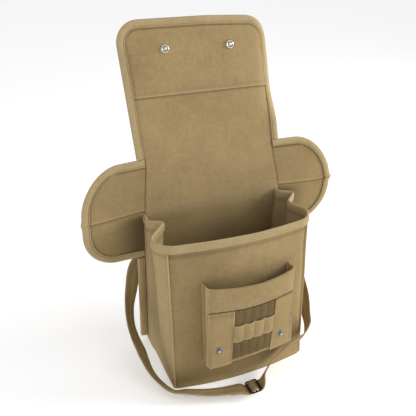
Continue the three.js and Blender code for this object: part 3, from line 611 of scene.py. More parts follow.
@dataclass(frozen=True)
class SewingThread:
    """Waxed cotton sewing thread, twisted and matt, a little paler than the canvas."""

    name: str = "waxed_cotton_thread"
    shade: str = "89744d"
    tone: str = "a6916a"

    def material(self) -> Material:
        """Builds the thread's material on Object coordinates."""
        material, tree = new_material(self.name)
        spot = add_node(tree, "ShaderNodeTexCoord").outputs["Object"]
        twist = add_node(
            tree, "ShaderNodeTexNoise", {"Scale": 900.0, "Detail": 2.0}, {"Vector": spot}
        )
        colour = add_node(
            tree,
            "ShaderNodeMix",
            {"data_type": "RGBA", 6: linear(self.shade), 7: linear(self.tone)},
            {0: twist.outputs["Fac"]},
        )
        shader = add_node(
            tree,
            "ShaderNodeBsdfPrincipled",
            {"Roughness": 0.8, "Sheen Weight": 0.1},
            {"Base Color": colour.outputs[2]},
        )
        add_node(tree, "ShaderNodeOutputMaterial", links={"Surface": shader.outputs["BSDF"]})
        return material


@dataclass(frozen=True)
class Finishes:
    """Every material of the case, built once."""

    canvas: Material
    binding: Material
    pen_cloth: Material
    webbing: Material
    thread: Material
    nickel: Material
    black_steel: Material

    @classmethod
    def build(cls) -> "Finishes":
        """Builds the case's materials."""
        return cls(
            # Each cloth's rubbed and soiled colours also serve for the light and shade painted on it.
            canvas=WovenCotton(
                name="cotton_duck_canvas",
                shade="8a744e",
                tone="a68f65",
                rubbed_and_lit="bca982",
                soiled_and_shaded="514228",
                weave=Weave.PLAIN,
                pitch=1.0 * MM,
                relief=0.14 * MM,
                streak=0.42,
            ).material(),
            binding=WovenCotton(
                name="cotton_binding_twill",
                shade="98835a",
                tone="b09b75",
                rubbed_and_lit="c3b18d",
                soiled_and_shaded="514228",
                weave=Weave.TWILL,
                pitch=1.3 * MM,
                relief=0.12 * MM,
            ).material(),
            pen_cloth=WovenCotton(
                name="cotton_drill_dark",
                shade="59482d",
                tone="746040",
                rubbed_and_lit="89744f",
                soiled_and_shaded="41321b",
                weave=Weave.TWILL,
                pitch=1.4 * MM,
                relief=0.16 * MM,
                sheen=0.05,
            ).material(),
            webbing=WovenCotton(
                name="cotton_webbing_herringbone",
                shade="85704b",
                tone="a18b5e",
                rubbed_and_lit="bda983",
                soiled_and_shaded="4f4127",
                weave=Weave.HERRINGBONE,
                pitch=1.5 * MM,
                relief=0.2 * MM,
                band=12.5,
            ).material(),
            thread=SewingThread().material(),
            nickel=SmithMetal("nickel_plated_brass", "e3ddcb", "b3ad9c", "38404d", 0.2).material(),
            black_steel=SmithMetal(
                "blued_black_steel", "343b48", "121417", "0d0f12", 0.22, 0.4
            ).material(),
        )


# Surfaces


@dataclass(frozen=True)
class BackSheet:
    """The surface of the back panel, flap and wings.

    It stands upright, leans forward a little from its foot, and bends back above the mouth.
    """

    hinge: float = 237 * MM
    depth: float = 54.5 * MM
    wall: float = 1.8 * MM
    skew: float = 8 * MM
    kick: float = 12 * MM
    half: float = 109 * MM
    mouth_band: float = 12 * MM
    flap_length: float = 263 * MM
    flap_half: float = 112.5 * MM
    flap_corner: float = 34 * MM
    lean: float = math.radians(16.4)
    bend: float = 40 * MM
    band: float = 11.5 * MM
    band_wall: float = 1.1 * MM
    seam: float = 0.3 * MM
    wing_rise: float = 77 * MM
    wing_drop: float = 72 * MM
    edge_curl: float = 12 * MM
    end_droop: float = 4 * MM
    crumple: Crumple = Crumple(2.4 * MM, 95 * MM, 0.5 * MM, 24 * MM, 3.7)

    @property
    def band_half(self) -> float:
        """Half the thickness of a bound edge."""
        return self.wall / 2 + self.seam + self.band_wall

    @property
    def flap_end(self) -> float:
        """Cloth height of the flap's end."""
        return self.hinge + self.flap_length

    @property
    def wing_foot(self) -> float:
        """Cloth height of the wings' lower edge."""
        return self.hinge - self.wing_drop

    @property
    def wing_head(self) -> float:
        """Cloth height of the wings' upper edge."""
        return self.hinge + self.wing_rise

    def set_back(self, x: float, z: float) -> float:
        """How far the panel stands back of its middle line at the mouth."""
        low = max(1 - z / (self.hinge - self.mouth_band), 0.0)
        fade = 1 - ease(z, self.hinge, self.hinge + self.flap_length / 2)
        return self.skew * fade * x / (2 * self.half) + self.kick * low

    def ripple(self, a: float, v: float) -> float:
        """Unevenness of the opened cloth above the mouth and out on the wings."""
        loose = ease(v, self.hinge + 5 * MM, self.hinge + 90 * MM)
        out = ease(abs(a), self.half + 6 * MM, self.half + 60 * MM)
        beside = out * ease(v, self.wing_foot - 5 * MM, self.wing_foot)
        return max(loose, beside) * self.crumple.at(a, 0.0, v)

    def curl(self, a: float, v: float) -> float:
        """How far the flap's right edge curls back, above the wing."""
        above = ease(v, self.hinge + 100 * MM, self.hinge + 160 * MM)
        return self.edge_curl * above * clamp((a - self.flap_half + 26 * MM) / (26 * MM)) ** 2

    def droop(self, a: float, v: float) -> float:
        """How far the flap's end drops at its right corner."""
        up = ease(v, self.flap_end - 90 * MM, self.flap_end)
        return self.end_droop * ease(a, 0.0, self.flap_half) * up

    def from_edge(self, a: float, v: float) -> float:
        """Distance of a place on the flap from the flap's outer edge."""
        into_side = max(abs(a) - (self.flap_half - self.flap_corner), 0.0)
        into_end = max(v - (self.flap_end - self.flap_corner), 0.0)
        if into_side and into_end:
            return self.flap_corner - math.hypot(into_side, into_end)
        return min(self.flap_half - abs(a), self.flap_end - v)

    def point(self, a: float, v: float, n: float = 0.0, push: float = 0.0) -> Vector:
        """A point of the cloth in space.

        Args:
            a: sideways place.
            v: height along the cloth.
            n: height off the middle surface towards the front.
            push: a shift to the front.

        Returns:
            The point.
        """
        bent = clamp((v - self.hinge) / self.bend, 0.0, self.lean)
        rest = max(v - self.hinge - self.bend * self.lean, 0.0) - self.droop(a, v)
        y = self.depth - self.wall / 2 + self.bend * (1 - math.cos(bent))
        y += rest * math.sin(self.lean) + self.set_back(a, v)
        z = min(v, self.hinge) + self.bend * math.sin(bent) + rest * math.cos(self.lean)
        off = n + self.ripple(a, v) - self.curl(a, v)
        return Vector((a, y - push - off * math.cos(bent), z + off * math.sin(bent)))

    def drift(self, v: float) -> float:
        """Sideways drift of the opened flap's middle line."""
        up = clamp((v - self.hinge) / self.flap_length)
        blend = ease(v, self.wing_foot, self.hinge)
        shift = mix(3.0, 4.5, up / 0.3) if up < 0.3 else mix(4.5, -4.0, (up - 0.3) / 0.7)
        return blend * shift * MM

    def seam_half(self, v: float) -> float:
        """Half width of the panel and flap between their seams."""
        return mix(self.half, self.flap_half - self.band, ease(v, self.hinge, self.wing_head))

    def rounded_half(self, inset: float, v: float) -> float:
        """The flap's half width where a corner rounds its end, less an inset all round."""
        corner = self.flap_corner - inset
        into = max(v - (self.flap_end - self.flap_corner), 0.0)
        return self.flap_half - self.flap_corner + math.sqrt(max(corner**2 - into**2, 0.0))


@dataclass(frozen=True)
class BodyWall:
    """The surface of the gussets and the front panel, in plans that change with height."""

    sheet: BackSheet = BackSheet()
    front_half: float = 104 * MM
    front_flare: float = 1 * MM
    front_foot: float = 60 * MM
    front_head: float = 44 * MM
    front_bow: float = 11 * MM
    foot_corner: float = 7 * MM
    head_corner: float = 21 * MM
    fold_reach: float = 24 * MM
    seam_lead: float = 7 * MM
    seam_inset: float = 1.6 * MM
    base_wall: float = 1.8 * MM
    arc_steps: int = 8
    run_steps: int = 3
    crumple: Crumple = Crumple(1.5 * MM, 70 * MM, 0.35 * MM, 20 * MM, 8.2)
    # How far each fold stands out, in shares of fold_reach, at the foot, half way up and at the mouth
    folds: tuple = (
        (Side.LEFT, (0.02, 0.10, 0.04), (-0.05, -0.45, -0.85), (0.02, 0.36, 0.62)),
        (Side.RIGHT, (0.05, 0.45, 0.85), (-0.05, -0.15, -0.12), (0.15, 0.60, 0.58)),
    )
    # Where the folds lie between the back seam, 0, and the front seam, 1
    places: tuple = ((Side.LEFT, 0.12, 0.25, 0.70), (Side.RIGHT, 0.16, 0.40, 0.74))

    @property
    def top(self) -> float:
        """Height above which the plan stays the same."""
        return self.sheet.hinge - self.sheet.mouth_band

    def fold_shares(self, side: Side, up: float) -> list[float]:
        """How far the back lobe, the crease and the front lobe stand out at a share of the height."""
        rows = next(row[1:] for row in self.folds if row[0] is side)
        if up < 0.5:
            return [mix(low, middle, up / 0.5) for low, middle, _ in rows]
        return [mix(middle, high, (up - 0.5) / 0.5) for _, middle, high in rows]

    def gusset(self, side: Side, up: float) -> list[Spot]:
        """Control points of a gusset: x, y and the rounding's reach.

        Args:
            side: the side that it is on.
            up: the height's share of the wall, from 0 to 1.

        Returns:
            The points from the back seam to the front corner.
        """
        sheet, sign = self.sheet, side.value
        seam_x = sheet.half - self.seam_inset
        back = sheet.depth - sheet.wall / 2 + sheet.set_back(sign * seam_x, up * self.top)
        seam_y = back - sheet.wall / 2 - sheet.seam
        corner_x = self.front_half + self.front_flare * up
        corner_y = -mix(self.front_foot, self.front_head, up)
        lead_y = seam_y - self.seam_lead
        shares = self.fold_shares(side, up)
        places = next(row[1:] for row in self.places if row[0] is side)
        points = [(sign * seam_x, seam_y, 0.0), (sign * seam_x, lead_y, 3 * MM)]
        for place, share, reach in zip(places, shares, (6 * MM, 8 * MM, 15 * MM), strict=True):
            x = mix(seam_x, corner_x, place) + share * self.fold_reach
            points.append((sign * x, mix(lead_y, corner_y, place), reach))
        points.append((sign * corner_x, corner_y, mix(self.foot_corner, self.head_corner, up)))
        return points

    def front(self, up: float) -> list[Spot]:
        """Control points of the bowed front panel."""
        corner_x = self.front_half + self.front_flare * up
        corner_y = -mix(self.front_foot, self.front_head, up)
        return [
            (share * corner_x, corner_y - self.front_bow * (1 - share**2), corner_x * 0.2)
            for share in (-0.5, 0.0, 0.5)
        ]

    def chain(self, z: float) -> list[Vector]:
        """The wall's plan from the left back seam round the front to the right back seam."""
        up = clamp(z / self.top)
        right = list(reversed(self.gusset(Side.RIGHT, up)))
        return rounded_chain(
            [*self.gusset(Side.LEFT, up), *self.front(up), *right], self.arc_steps, self.run_steps
        )

    @property
    def seam_index(self) -> int:
        """Place of the left front seam in the chain, in the middle of the corner's curve."""
        return 5 * self.run_steps + 4 * self.arc_steps + self.arc_steps // 2

    @property
    def chain_length(self) -> int:
        """How many points the chain has."""
        return len(self.chain(0.0))

    def point(self, chain: Sequence[Vector], i: int, z: float, offset: float) -> Vector:
        """A point off the chain's place i, along the outward normal.

        Args:
            chain: the plan at height z.
            i: the place in the chain.
            z: the height.
            offset: the distance outwards.

        Returns:
            The point in space.
        """
        before, after = chain[max(i - 1, 0)], chain[min(i + 1, len(chain) - 1)]
        along = (after - before).normalized()
        spot = chain[i]
        soft = ease(z, 4 * MM, 40 * MM) * ease(min(i, len(chain) - 1 - i), 0, 14)
        off = offset + soft * self.crumple.at(spot.x, spot.y, z)
        return Vector((spot.x + along.y * off, spot.y - along.x * off, z))

    def face_y(self, x: float, z: float) -> float:
        """Y of the front panel's outer face, without its unevenness."""
        up = z / self.top
        share = x / (self.front_half + self.front_flare * up)
        middle = -mix(self.front_foot, self.front_head, up)
        return middle - self.front_bow * (1 - share**2) - self.sheet.wall / 2


def rounded_chain(
    controls: Sequence[Spot], arc_steps: int, run_steps: int
) -> list[Vector]:
    """Rounds a chain of control points with a curve at each inner one.

    Args:
        controls: x, y and the rounding's reach of each control point.
        arc_steps: steps in each curve.
        run_steps: steps in each straight run between curves.

    Returns:
        The plan's points.
    """
    spots = [Vector((x, y)) for x, y, _ in controls]
    chain = [spots[0]]
    for i in range(1, len(spots) - 1):
        before, after = spots[i - 1] - spots[i], spots[i + 1] - spots[i]
        reach = min(controls[i][2], 0.45 * before.length, 0.45 * after.length)
        start = spots[i] + before.normalized() * reach
        end = spots[i] + after.normalized() * reach
        last = chain[-1]
        chain += [last.lerp(start, share) for share in spread(0, 1, run_steps)[1:-1]]
        for t in spread(0, 1, arc_steps):
            chain.append((1 - t) ** 2 * start + 2 * t * (1 - t) * spots[i] + t * t * end)
    last = chain[-1]
    chain += [last.lerp(spots[-1], share) for share in spread(0, 1, run_steps)[1:]]
    return chain


# Seams


def binding_section(
    width: float, half: float, wall: float, beaded: bool = True
) -> list[tuple[float, float]]:
    """The folded binding's section, with a round nose and a slightly puffed band.

    Args:
        width: how far the binding reaches in from the edge.
        half: half the bound edge's thickness.
        wall: the thickness of one leg.
        beaded: whether the turned inner edge stands up as a bead beside a pressed seam.

    Returns:
        Pairs of the inward distance and the height off the middle surface, in a ring.
    """
    if beaded:
        edge = [0.62, 0.96, 1.12, 1.02, 0.72, 0.86]
    else:
        edge = [0.78, 0.94, 0.98, 0.97, 0.96, 0.98]
    band = list(zip((1.0, 0.97, 0.92, 0.87, 0.83, 0.79), edge, strict=True))
    band += [(0.72, 1.02), (0.6, 1.1), (0.42, 1.1), (0.26, 1.04), (0.14, 0.92)]
    front = [(width * d, half * n) for d, n in band]
    nose = [(half * (1 - math.cos(t)) * 0.9, half * 0.75 * math.sin(t)) for t in (0.9, 0.45, 0.0)]
    ring = [*front, *nose]
    ring += [(d, -n) for d, n in reversed([*front, *nose[:-1]])]
    inner = half - wall
    ring += [(width * 0.97, -inner), (wall, -inner), (wall, inner), (width * 0.97, inner)]
    return ring


def along_outline(
    outline: Sequence[Vector], lay: Lay, section: Pairs
) -> Rows:
    """Rings of a section swept along an outline in a sheet's own coordinates.

    Args:
        outline: points in the sheet's coordinates, with the cloth on their right.
        lay: gives the point in space for sheet coordinates and a height.
        section: pairs of inward distance and height.

    Returns:
        The rings of points in space.
    """
    rings = []
    length = 0.0
    for i, spot in enumerate(outline):
        before, after = outline[max(i - 1, 0)], outline[min(i + 1, len(outline) - 1)]
        length += (spot - outline[max(i - 1, 0)]).length
        along = (after - before).normalized()
        inward = Vector((along.y, -along.x))
        pucker = 1 + 0.07 * noise.noise(Vector((length / (6 * MM), 3.0, 0.0)))
        wander = 0.5 * MM * noise.noise(Vector((length / (55 * MM), 7.0, 0.0)))
        ring = []
        for d, n in section:
            d += wander * clamp(d / (6 * MM))
            place = spot + inward * d
            ring.append(lay(place.x, place.y, n * pucker))
        rings.append(ring)
    return rings


def even_outline(points: Sequence[Vector], step: float) -> list[Vector]:
    """An outline through the same points with even steps."""
    flat = np.array([tuple(p) for p in points], float)
    run = run_length(flat)
    places = np.linspace(0.0, run[-1], max(2, round(run[-1] / step)) + 1)
    columns = [np.interp(places, run, flat[:, k]) for k in range(flat.shape[1])]
    return [Vector(tuple(float(v) for v in values)) for values in zip(*columns, strict=True)]


@dataclass
class Stitching:
    """Runs of sewing thread, each stitch a short bead that dips into the cloth at its ends."""

    finish: Material
    pitch: float = 3.4 * MM
    length: float = 2.5 * MM
    thread: float = 0.55 * MM
    corners: np.ndarray = field(init=False)
    faces: list[tuple[int, ...]] = field(init=False)

    def __post_init__(self) -> None:
        """Models one stitch along X, with its height along Z."""
        deselect_all()
        bpy.ops.mesh.primitive_uv_sphere_add(segments=6, ring_count=5, radius=0.5)
        bead = bpy.context.object
        bpy.ops.object.mode_set(mode="EDIT")
        bpy.ops.mesh.select_all(action="SELECT")
        bpy.ops.transform.rotate(value=math.pi / 2, orient_axis="Y", center_override=(0, 0, 0))
        bpy.ops.transform.resize(
            value=(self.length, self.thread, self.thread), center_override=(0, 0, 0)
        )
        bpy.ops.object.mode_set(mode="OBJECT")
        corners = np.array([tuple(v.co) for v in bead.data.vertices])
        corners[:, 2] -= self.thread * 0.9 * (2 * corners[:, 0] / self.length) ** 2
        self.corners = corners
        self.faces = [tuple(p.vertices) for p in bead.data.polygons]
        bpy.data.objects.remove(bead)

    def sew(self, name: str, path: Sequence[Vector], normals: Sequence[Vector]) -> None:
        """Lays stitches along a path.

        Args:
            name: the new piece's name.
            path: points in space on the cloth's face.
            normals: the face's outward direction at each point.
        """
        points = np.array([tuple(p) for p in path], float)
        ups = np.array([tuple(n) for n in normals], float)
        run = run_length(points)
        places = np.arange(self.pitch / 2, run[-1] - self.pitch / 3, self.pitch)
        corners, faces = [], []
        for place in places:
            ends = [place - self.length / 2, place + self.length / 2]
            low, high = (self.on_path(points, run, e) for e in ends)
            middle = self.on_path(points, run, place)
            up = self.on_path(ups, run, place)
            along = (high - low) / np.linalg.norm(high - low)
            aside = np.cross(up, along)
            aside /= np.linalg.norm(aside)
            up = np.cross(along, aside)
            basis = np.stack([along, aside, up])
            start = len(corners) * len(self.corners)
            corners.append(self.corners @ basis + middle + up * self.thread * 0.15)
            faces += [tuple(i + start for i in face) for face in self.faces]
        mesh = bpy.data.meshes.new(name)
        mesh.from_pydata([tuple(c) for c in np.concatenate(corners)], [], faces)
        piece = put_in_scene(name, mesh)
        shade_smooth(piece)
        settle(piece, self.finish, Slot.BINDING)

    @staticmethod
    def on_path(values: np.ndarray, run: np.ndarray, place: float) -> np.ndarray:
        """The value at a distance along the path."""
        return np.array([np.interp(place, run, values[:, k]) for k in range(3)])


def sewn_on_sheet(
    stitching: Stitching, name: str, outline: Sequence[Vector], lay: Lay, height: float
) -> None:
    """Sews along an outline in a sheet's own coordinates, on the side that faces the front.

    Args:
        stitching: the thread.
        name: the new piece's name.
        outline: points in the sheet's coordinates.
        lay: gives the point in space for sheet coordinates and a height.
        height: the face's height off the sheet's middle surface.
    """
    path = [lay(p.x, p.y, height) for p in outline]
    normals = [(lay(p.x, p.y, height + MM) - q).normalized() for p, q in zip(outline, path, strict=True)]
    stitching.sew(name, path, normals)


def inset_outline(outline: Sequence[Vector], inset: float) -> list[Vector]:
    """An outline moved to its right by an inset.

    Args:
        outline: the points, with the cloth on their right.
        inset: how far to move them.

    Returns:
        The moved points.
    """
    moved = []
    for i, spot in enumerate(outline):
        before, after = outline[max(i - 1, 0)], outline[min(i + 1, len(outline) - 1)]
        along = (after - before).normalized()
        moved.append(spot + Vector((along.y, -along.x)) * inset)
    return moved


# Sub-assemblies


@dataclass
class Flap:
    """The back panel that runs on up into the closing flap, with its facing and bound edge."""

    sheet: BackSheet
    finishes: Finishes
    stitching: Stitching
    step: float = 3.2 * MM
    foot: float = 2.1 * MM
    band_foot: float = 8 * MM
    facing_start: float = 160 * MM
    facing_wall: float = 0.9 * MM

    def build(self) -> None:
        """Builds the panel, the facing, the bindings and their stitches."""
        self.panel()
        self.facing()
        self.bindings()

    def sheet_rows(self, heights: Sequence[float], half: Callable[[float], float], n: float) -> Rows:
        """Rows of points across the sheet at each height.

        Args:
            heights: the rows' cloth heights.
            half: gives the half width at a cloth height.
            n: the height off the middle surface.

        Returns:
            The rows of points in space.
        """
        steps = round(2 * self.sheet.flap_half / self.step)
        rows = []
        for v in heights:
            shares = spread(-1, 1, steps)
            middle, reach = self.sheet.drift(v), half(v)
            rows.append([self.sheet.point(middle + s * reach, v, n) for s in shares])
        return rows

    def corner_heights(self, inset: float, steps: int) -> list[float]:
        """Heights through the flap's rounded corners, evenly spaced round their arc."""
        corner = self.sheet.flap_corner - inset
        end = self.sheet.flap_end - inset
        angles = spread(0, math.pi / 2, steps)[1:]
        return [end - corner + corner * math.sin(angle) for angle in angles]

    def panel(self) -> None:
        """The one cloth of back panel and flap."""
        sheet = self.sheet
        tuck = sheet.band_wall + sheet.seam
        flange = sheet.half + sheet.band - tuck
        edge = 0.5 * MM

        def half(v: float) -> float:
            """The panel's half width at a cloth height, inside its bindings."""
            if v < self.band_foot or sheet.wing_foot - edge <= v < sheet.wing_head + edge:
                return sheet.seam_half(v) if v > sheet.wing_foot - 2 * edge else sheet.half
            return flange if v < sheet.wing_foot else sheet.rounded_half(tuck, v)

        below_facing = sheet.hinge + self.facing_start - 5 * MM
        rounding = self.corner_heights(tuck, 12)
        heights = [self.foot, self.band_foot - 0.3 * MM]
        heights += spread(self.band_foot, sheet.wing_foot - 2 * edge, 42)
        heights += spread(sheet.wing_foot - edge, sheet.wing_head, 46)
        heights += spread(sheet.wing_head + 2 * edge, below_facing, 18)[:-1]
        heights += spread(below_facing, below_facing + 8 * MM, 8)[:-1]
        heights += spread(below_facing + 8 * MM, sheet.flap_end - sheet.flap_corner, 24)
        heights += rounding
        piece = cloth_grid("back_and_flap_cloth", self.sheet_rows(heights, half, 0.0))
        below = sheet.hinge + self.facing_start - 1.2 * MM
        shares = spread(-1, 1, round(2 * sheet.flap_half / self.step))
        wear = []
        for v in heights:
            # Pale along the hinge; a painted shadow in a line just below the facing's lower edge, and the
            # painted shade beside the bindings.
            seams = 0.3 * hump(v, sheet.hinge, 9 * MM) - 0.6 * hump(v, below, 1.8 * MM)
            wear.append([seams + self.painted_shade_beside_band(share * half(v) / MM, v / MM) for share in shares])
        mark_rows(piece, wear)
        thicken(piece, sheet.wall, 0.5 * MM)
        settle(piece, self.finishes.canvas, Slot.CANVAS, "back_and_flap")

    def facing(self) -> None:
        """The second layer on the flap's end, its lower edge turned and sewn down."""
        sheet = self.sheet
        inset = sheet.band - 1 * MM
        low = sheet.hinge + self.facing_start
        heights = spread(low, sheet.flap_end - sheet.flap_corner, 22) + self.corner_heights(inset, 10)
        lift = sheet.wall / 2 + 0.1 * MM + self.facing_wall / 2
        rows = self.sheet_rows(heights, lambda v: sheet.rounded_half(inset, v), lift)
        piece = cloth_grid("flap_facing_cloth", rows)
        start = low / MM
        # The turned edge pale, a dark line above it, and the painted shade beside the binding.
        mark_wear_and_painted_shading(
            piece,
            lambda u, v: 0.8 * hump(v, 0.8, 1.6) - 0.5 * hump(v, 4.5, 1.4) + self.painted_shade_beside_band(u, v + start),
        )
        thicken(piece, self.facing_wall, 0.35 * MM)
        settle(piece, self.finishes.canvas, Slot.CANVAS, "flap_facing")
        reach = sheet.rounded_half(inset, low) - 3 * MM
        line = [Vector((sheet.drift(low) + a, low + 2.2 * MM)) for a in spread(-reach, reach, 60)]
        height = lift + self.facing_wall / 2
        sewn_on_sheet(self.stitching, "facing_stitches", line, sheet.point, height)

    def painted_shade_beside_band(self, u: float, v: float) -> float:
        """Painted shade: a dark line along the inner edge of the binding, for a place in millimetres."""
        sheet = self.sheet
        if v * MM < sheet.wing_head:
            return -0.8 * hump(abs(u), sheet.seam_half(v * MM) / MM, 1.5)
        return -0.95 * hump(sheet.from_edge(u * MM, v * MM), sheet.band + 0.3 * MM, 1.3 * MM)

    def flap_outline(self) -> list[Vector]:
        """The flap's edge from its left foot over the end to its right foot."""
        sheet = self.sheet
        side = spread(sheet.wing_head + 0.05 * MM, sheet.flap_end - sheet.flap_corner, 10)
        heights = side + self.corner_heights(0.0, 16)

        def edge(sign: int, v: float) -> Vector:
            """The edge's place on one side at a cloth height."""
            return Vector((sheet.drift(v) + sign * sheet.rounded_half(0.0, v), v))

        left = [edge(-1, v) for v in heights]
        right = [edge(1, v) for v in reversed(heights)]
        return even_outline([*left, *right], 2.6 * MM)

    def bindings(self) -> None:
        """The flap's bound edge and the bands that close the body's back seams."""
        sheet = self.sheet
        section = binding_section(sheet.band, sheet.band_half, sheet.band_wall)
        outline = self.flap_outline()
        rings = along_outline(outline, sheet.point, section)
        for end, inward in ((0, 1), (-1, -1)):
            foot = outline[end]
            rings[end] = [sheet.point(foot.x + inward * d, foot.y, n) for d, n in section]
        piece = swept("flap_edge_binding", rings)
        dress_binding(piece, self.finishes.binding, "flap_binding")
        line = inset_outline(outline, sheet.band * 0.81)
        height = sheet.band_half * 0.74
        sewn_on_sheet(self.stitching, "flap_edge_stitches", line, sheet.point, height)
        for side in Side:
            self.back_band(side, section)

    def back_band(self, side: Side, section: Pairs) -> None:
        """The bound flange down one back seam, its lower end rounded off.

        Args:
            side: the side that it is on.
            section: the binding's section.
        """
        sheet = self.sheet
        heights = spread(self.band_foot, sheet.wing_foot - 2 * MM, 50)
        reach = sheet.half + sheet.band
        line = [Vector((sheet.drift(v) + side.value * reach, v)) for v in heights]
        outline = line if side is Side.LEFT else line[::-1]
        rings = along_outline(outline, sheet.point, section)
        foot = rings[0] if side is Side.LEFT else rings[-1]
        inner_x = side.value * sheet.half
        for ring in (rings[:6] if side is Side.LEFT else rings[-6:]):
            for point in ring:
                out = clamp((point.x - inner_x) * side.value / sheet.band)
                lift = 5 * MM * out**3 * ease(-(point.z - foot[0].z), -14 * MM, 0.0)
                point.z += lift
        piece = swept(f"{side.word}_back_band", rings)
        dress_binding(piece, self.finishes.binding, f"{side.word}_back_binding")
        sewn_on_sheet(
            self.stitching,
            f"{side.word}_back_band_stitches",
            inset_outline(outline, sheet.band * 0.81),
            sheet.point,
            sheet.band_half * 0.74,
        )


def dress_binding(
    piece: Piece, finish: Material, node: str, bead: float = 0.95
) -> None:
    """Gives a binding its cloth, its bead and nose rubbed pale and its seam soiled.

    Args:
        piece: the swept binding.
        finish: its material.
        node: the CAD node that it stands for.
        bead: how strongly the bead and the seam show.
    """
    reach = max(spot.uv.x for spot in piece.data.uv_layers[CLOTH_UV].data)

    def wear(u: float, v: float) -> float:
        """The wear at a place round the section."""
        share = (u + reach) / (2 * reach)
        seam = hump(share, 0.026, 0.022) - 0.4 * hump(share, 0.068, 0.016)
        return bead * seam + 0.3 * hump(share, 0.27, 0.05)

    mark_wear_and_painted_shading(piece, wear)
    settle(piece, finish, Slot.BINDING, node)


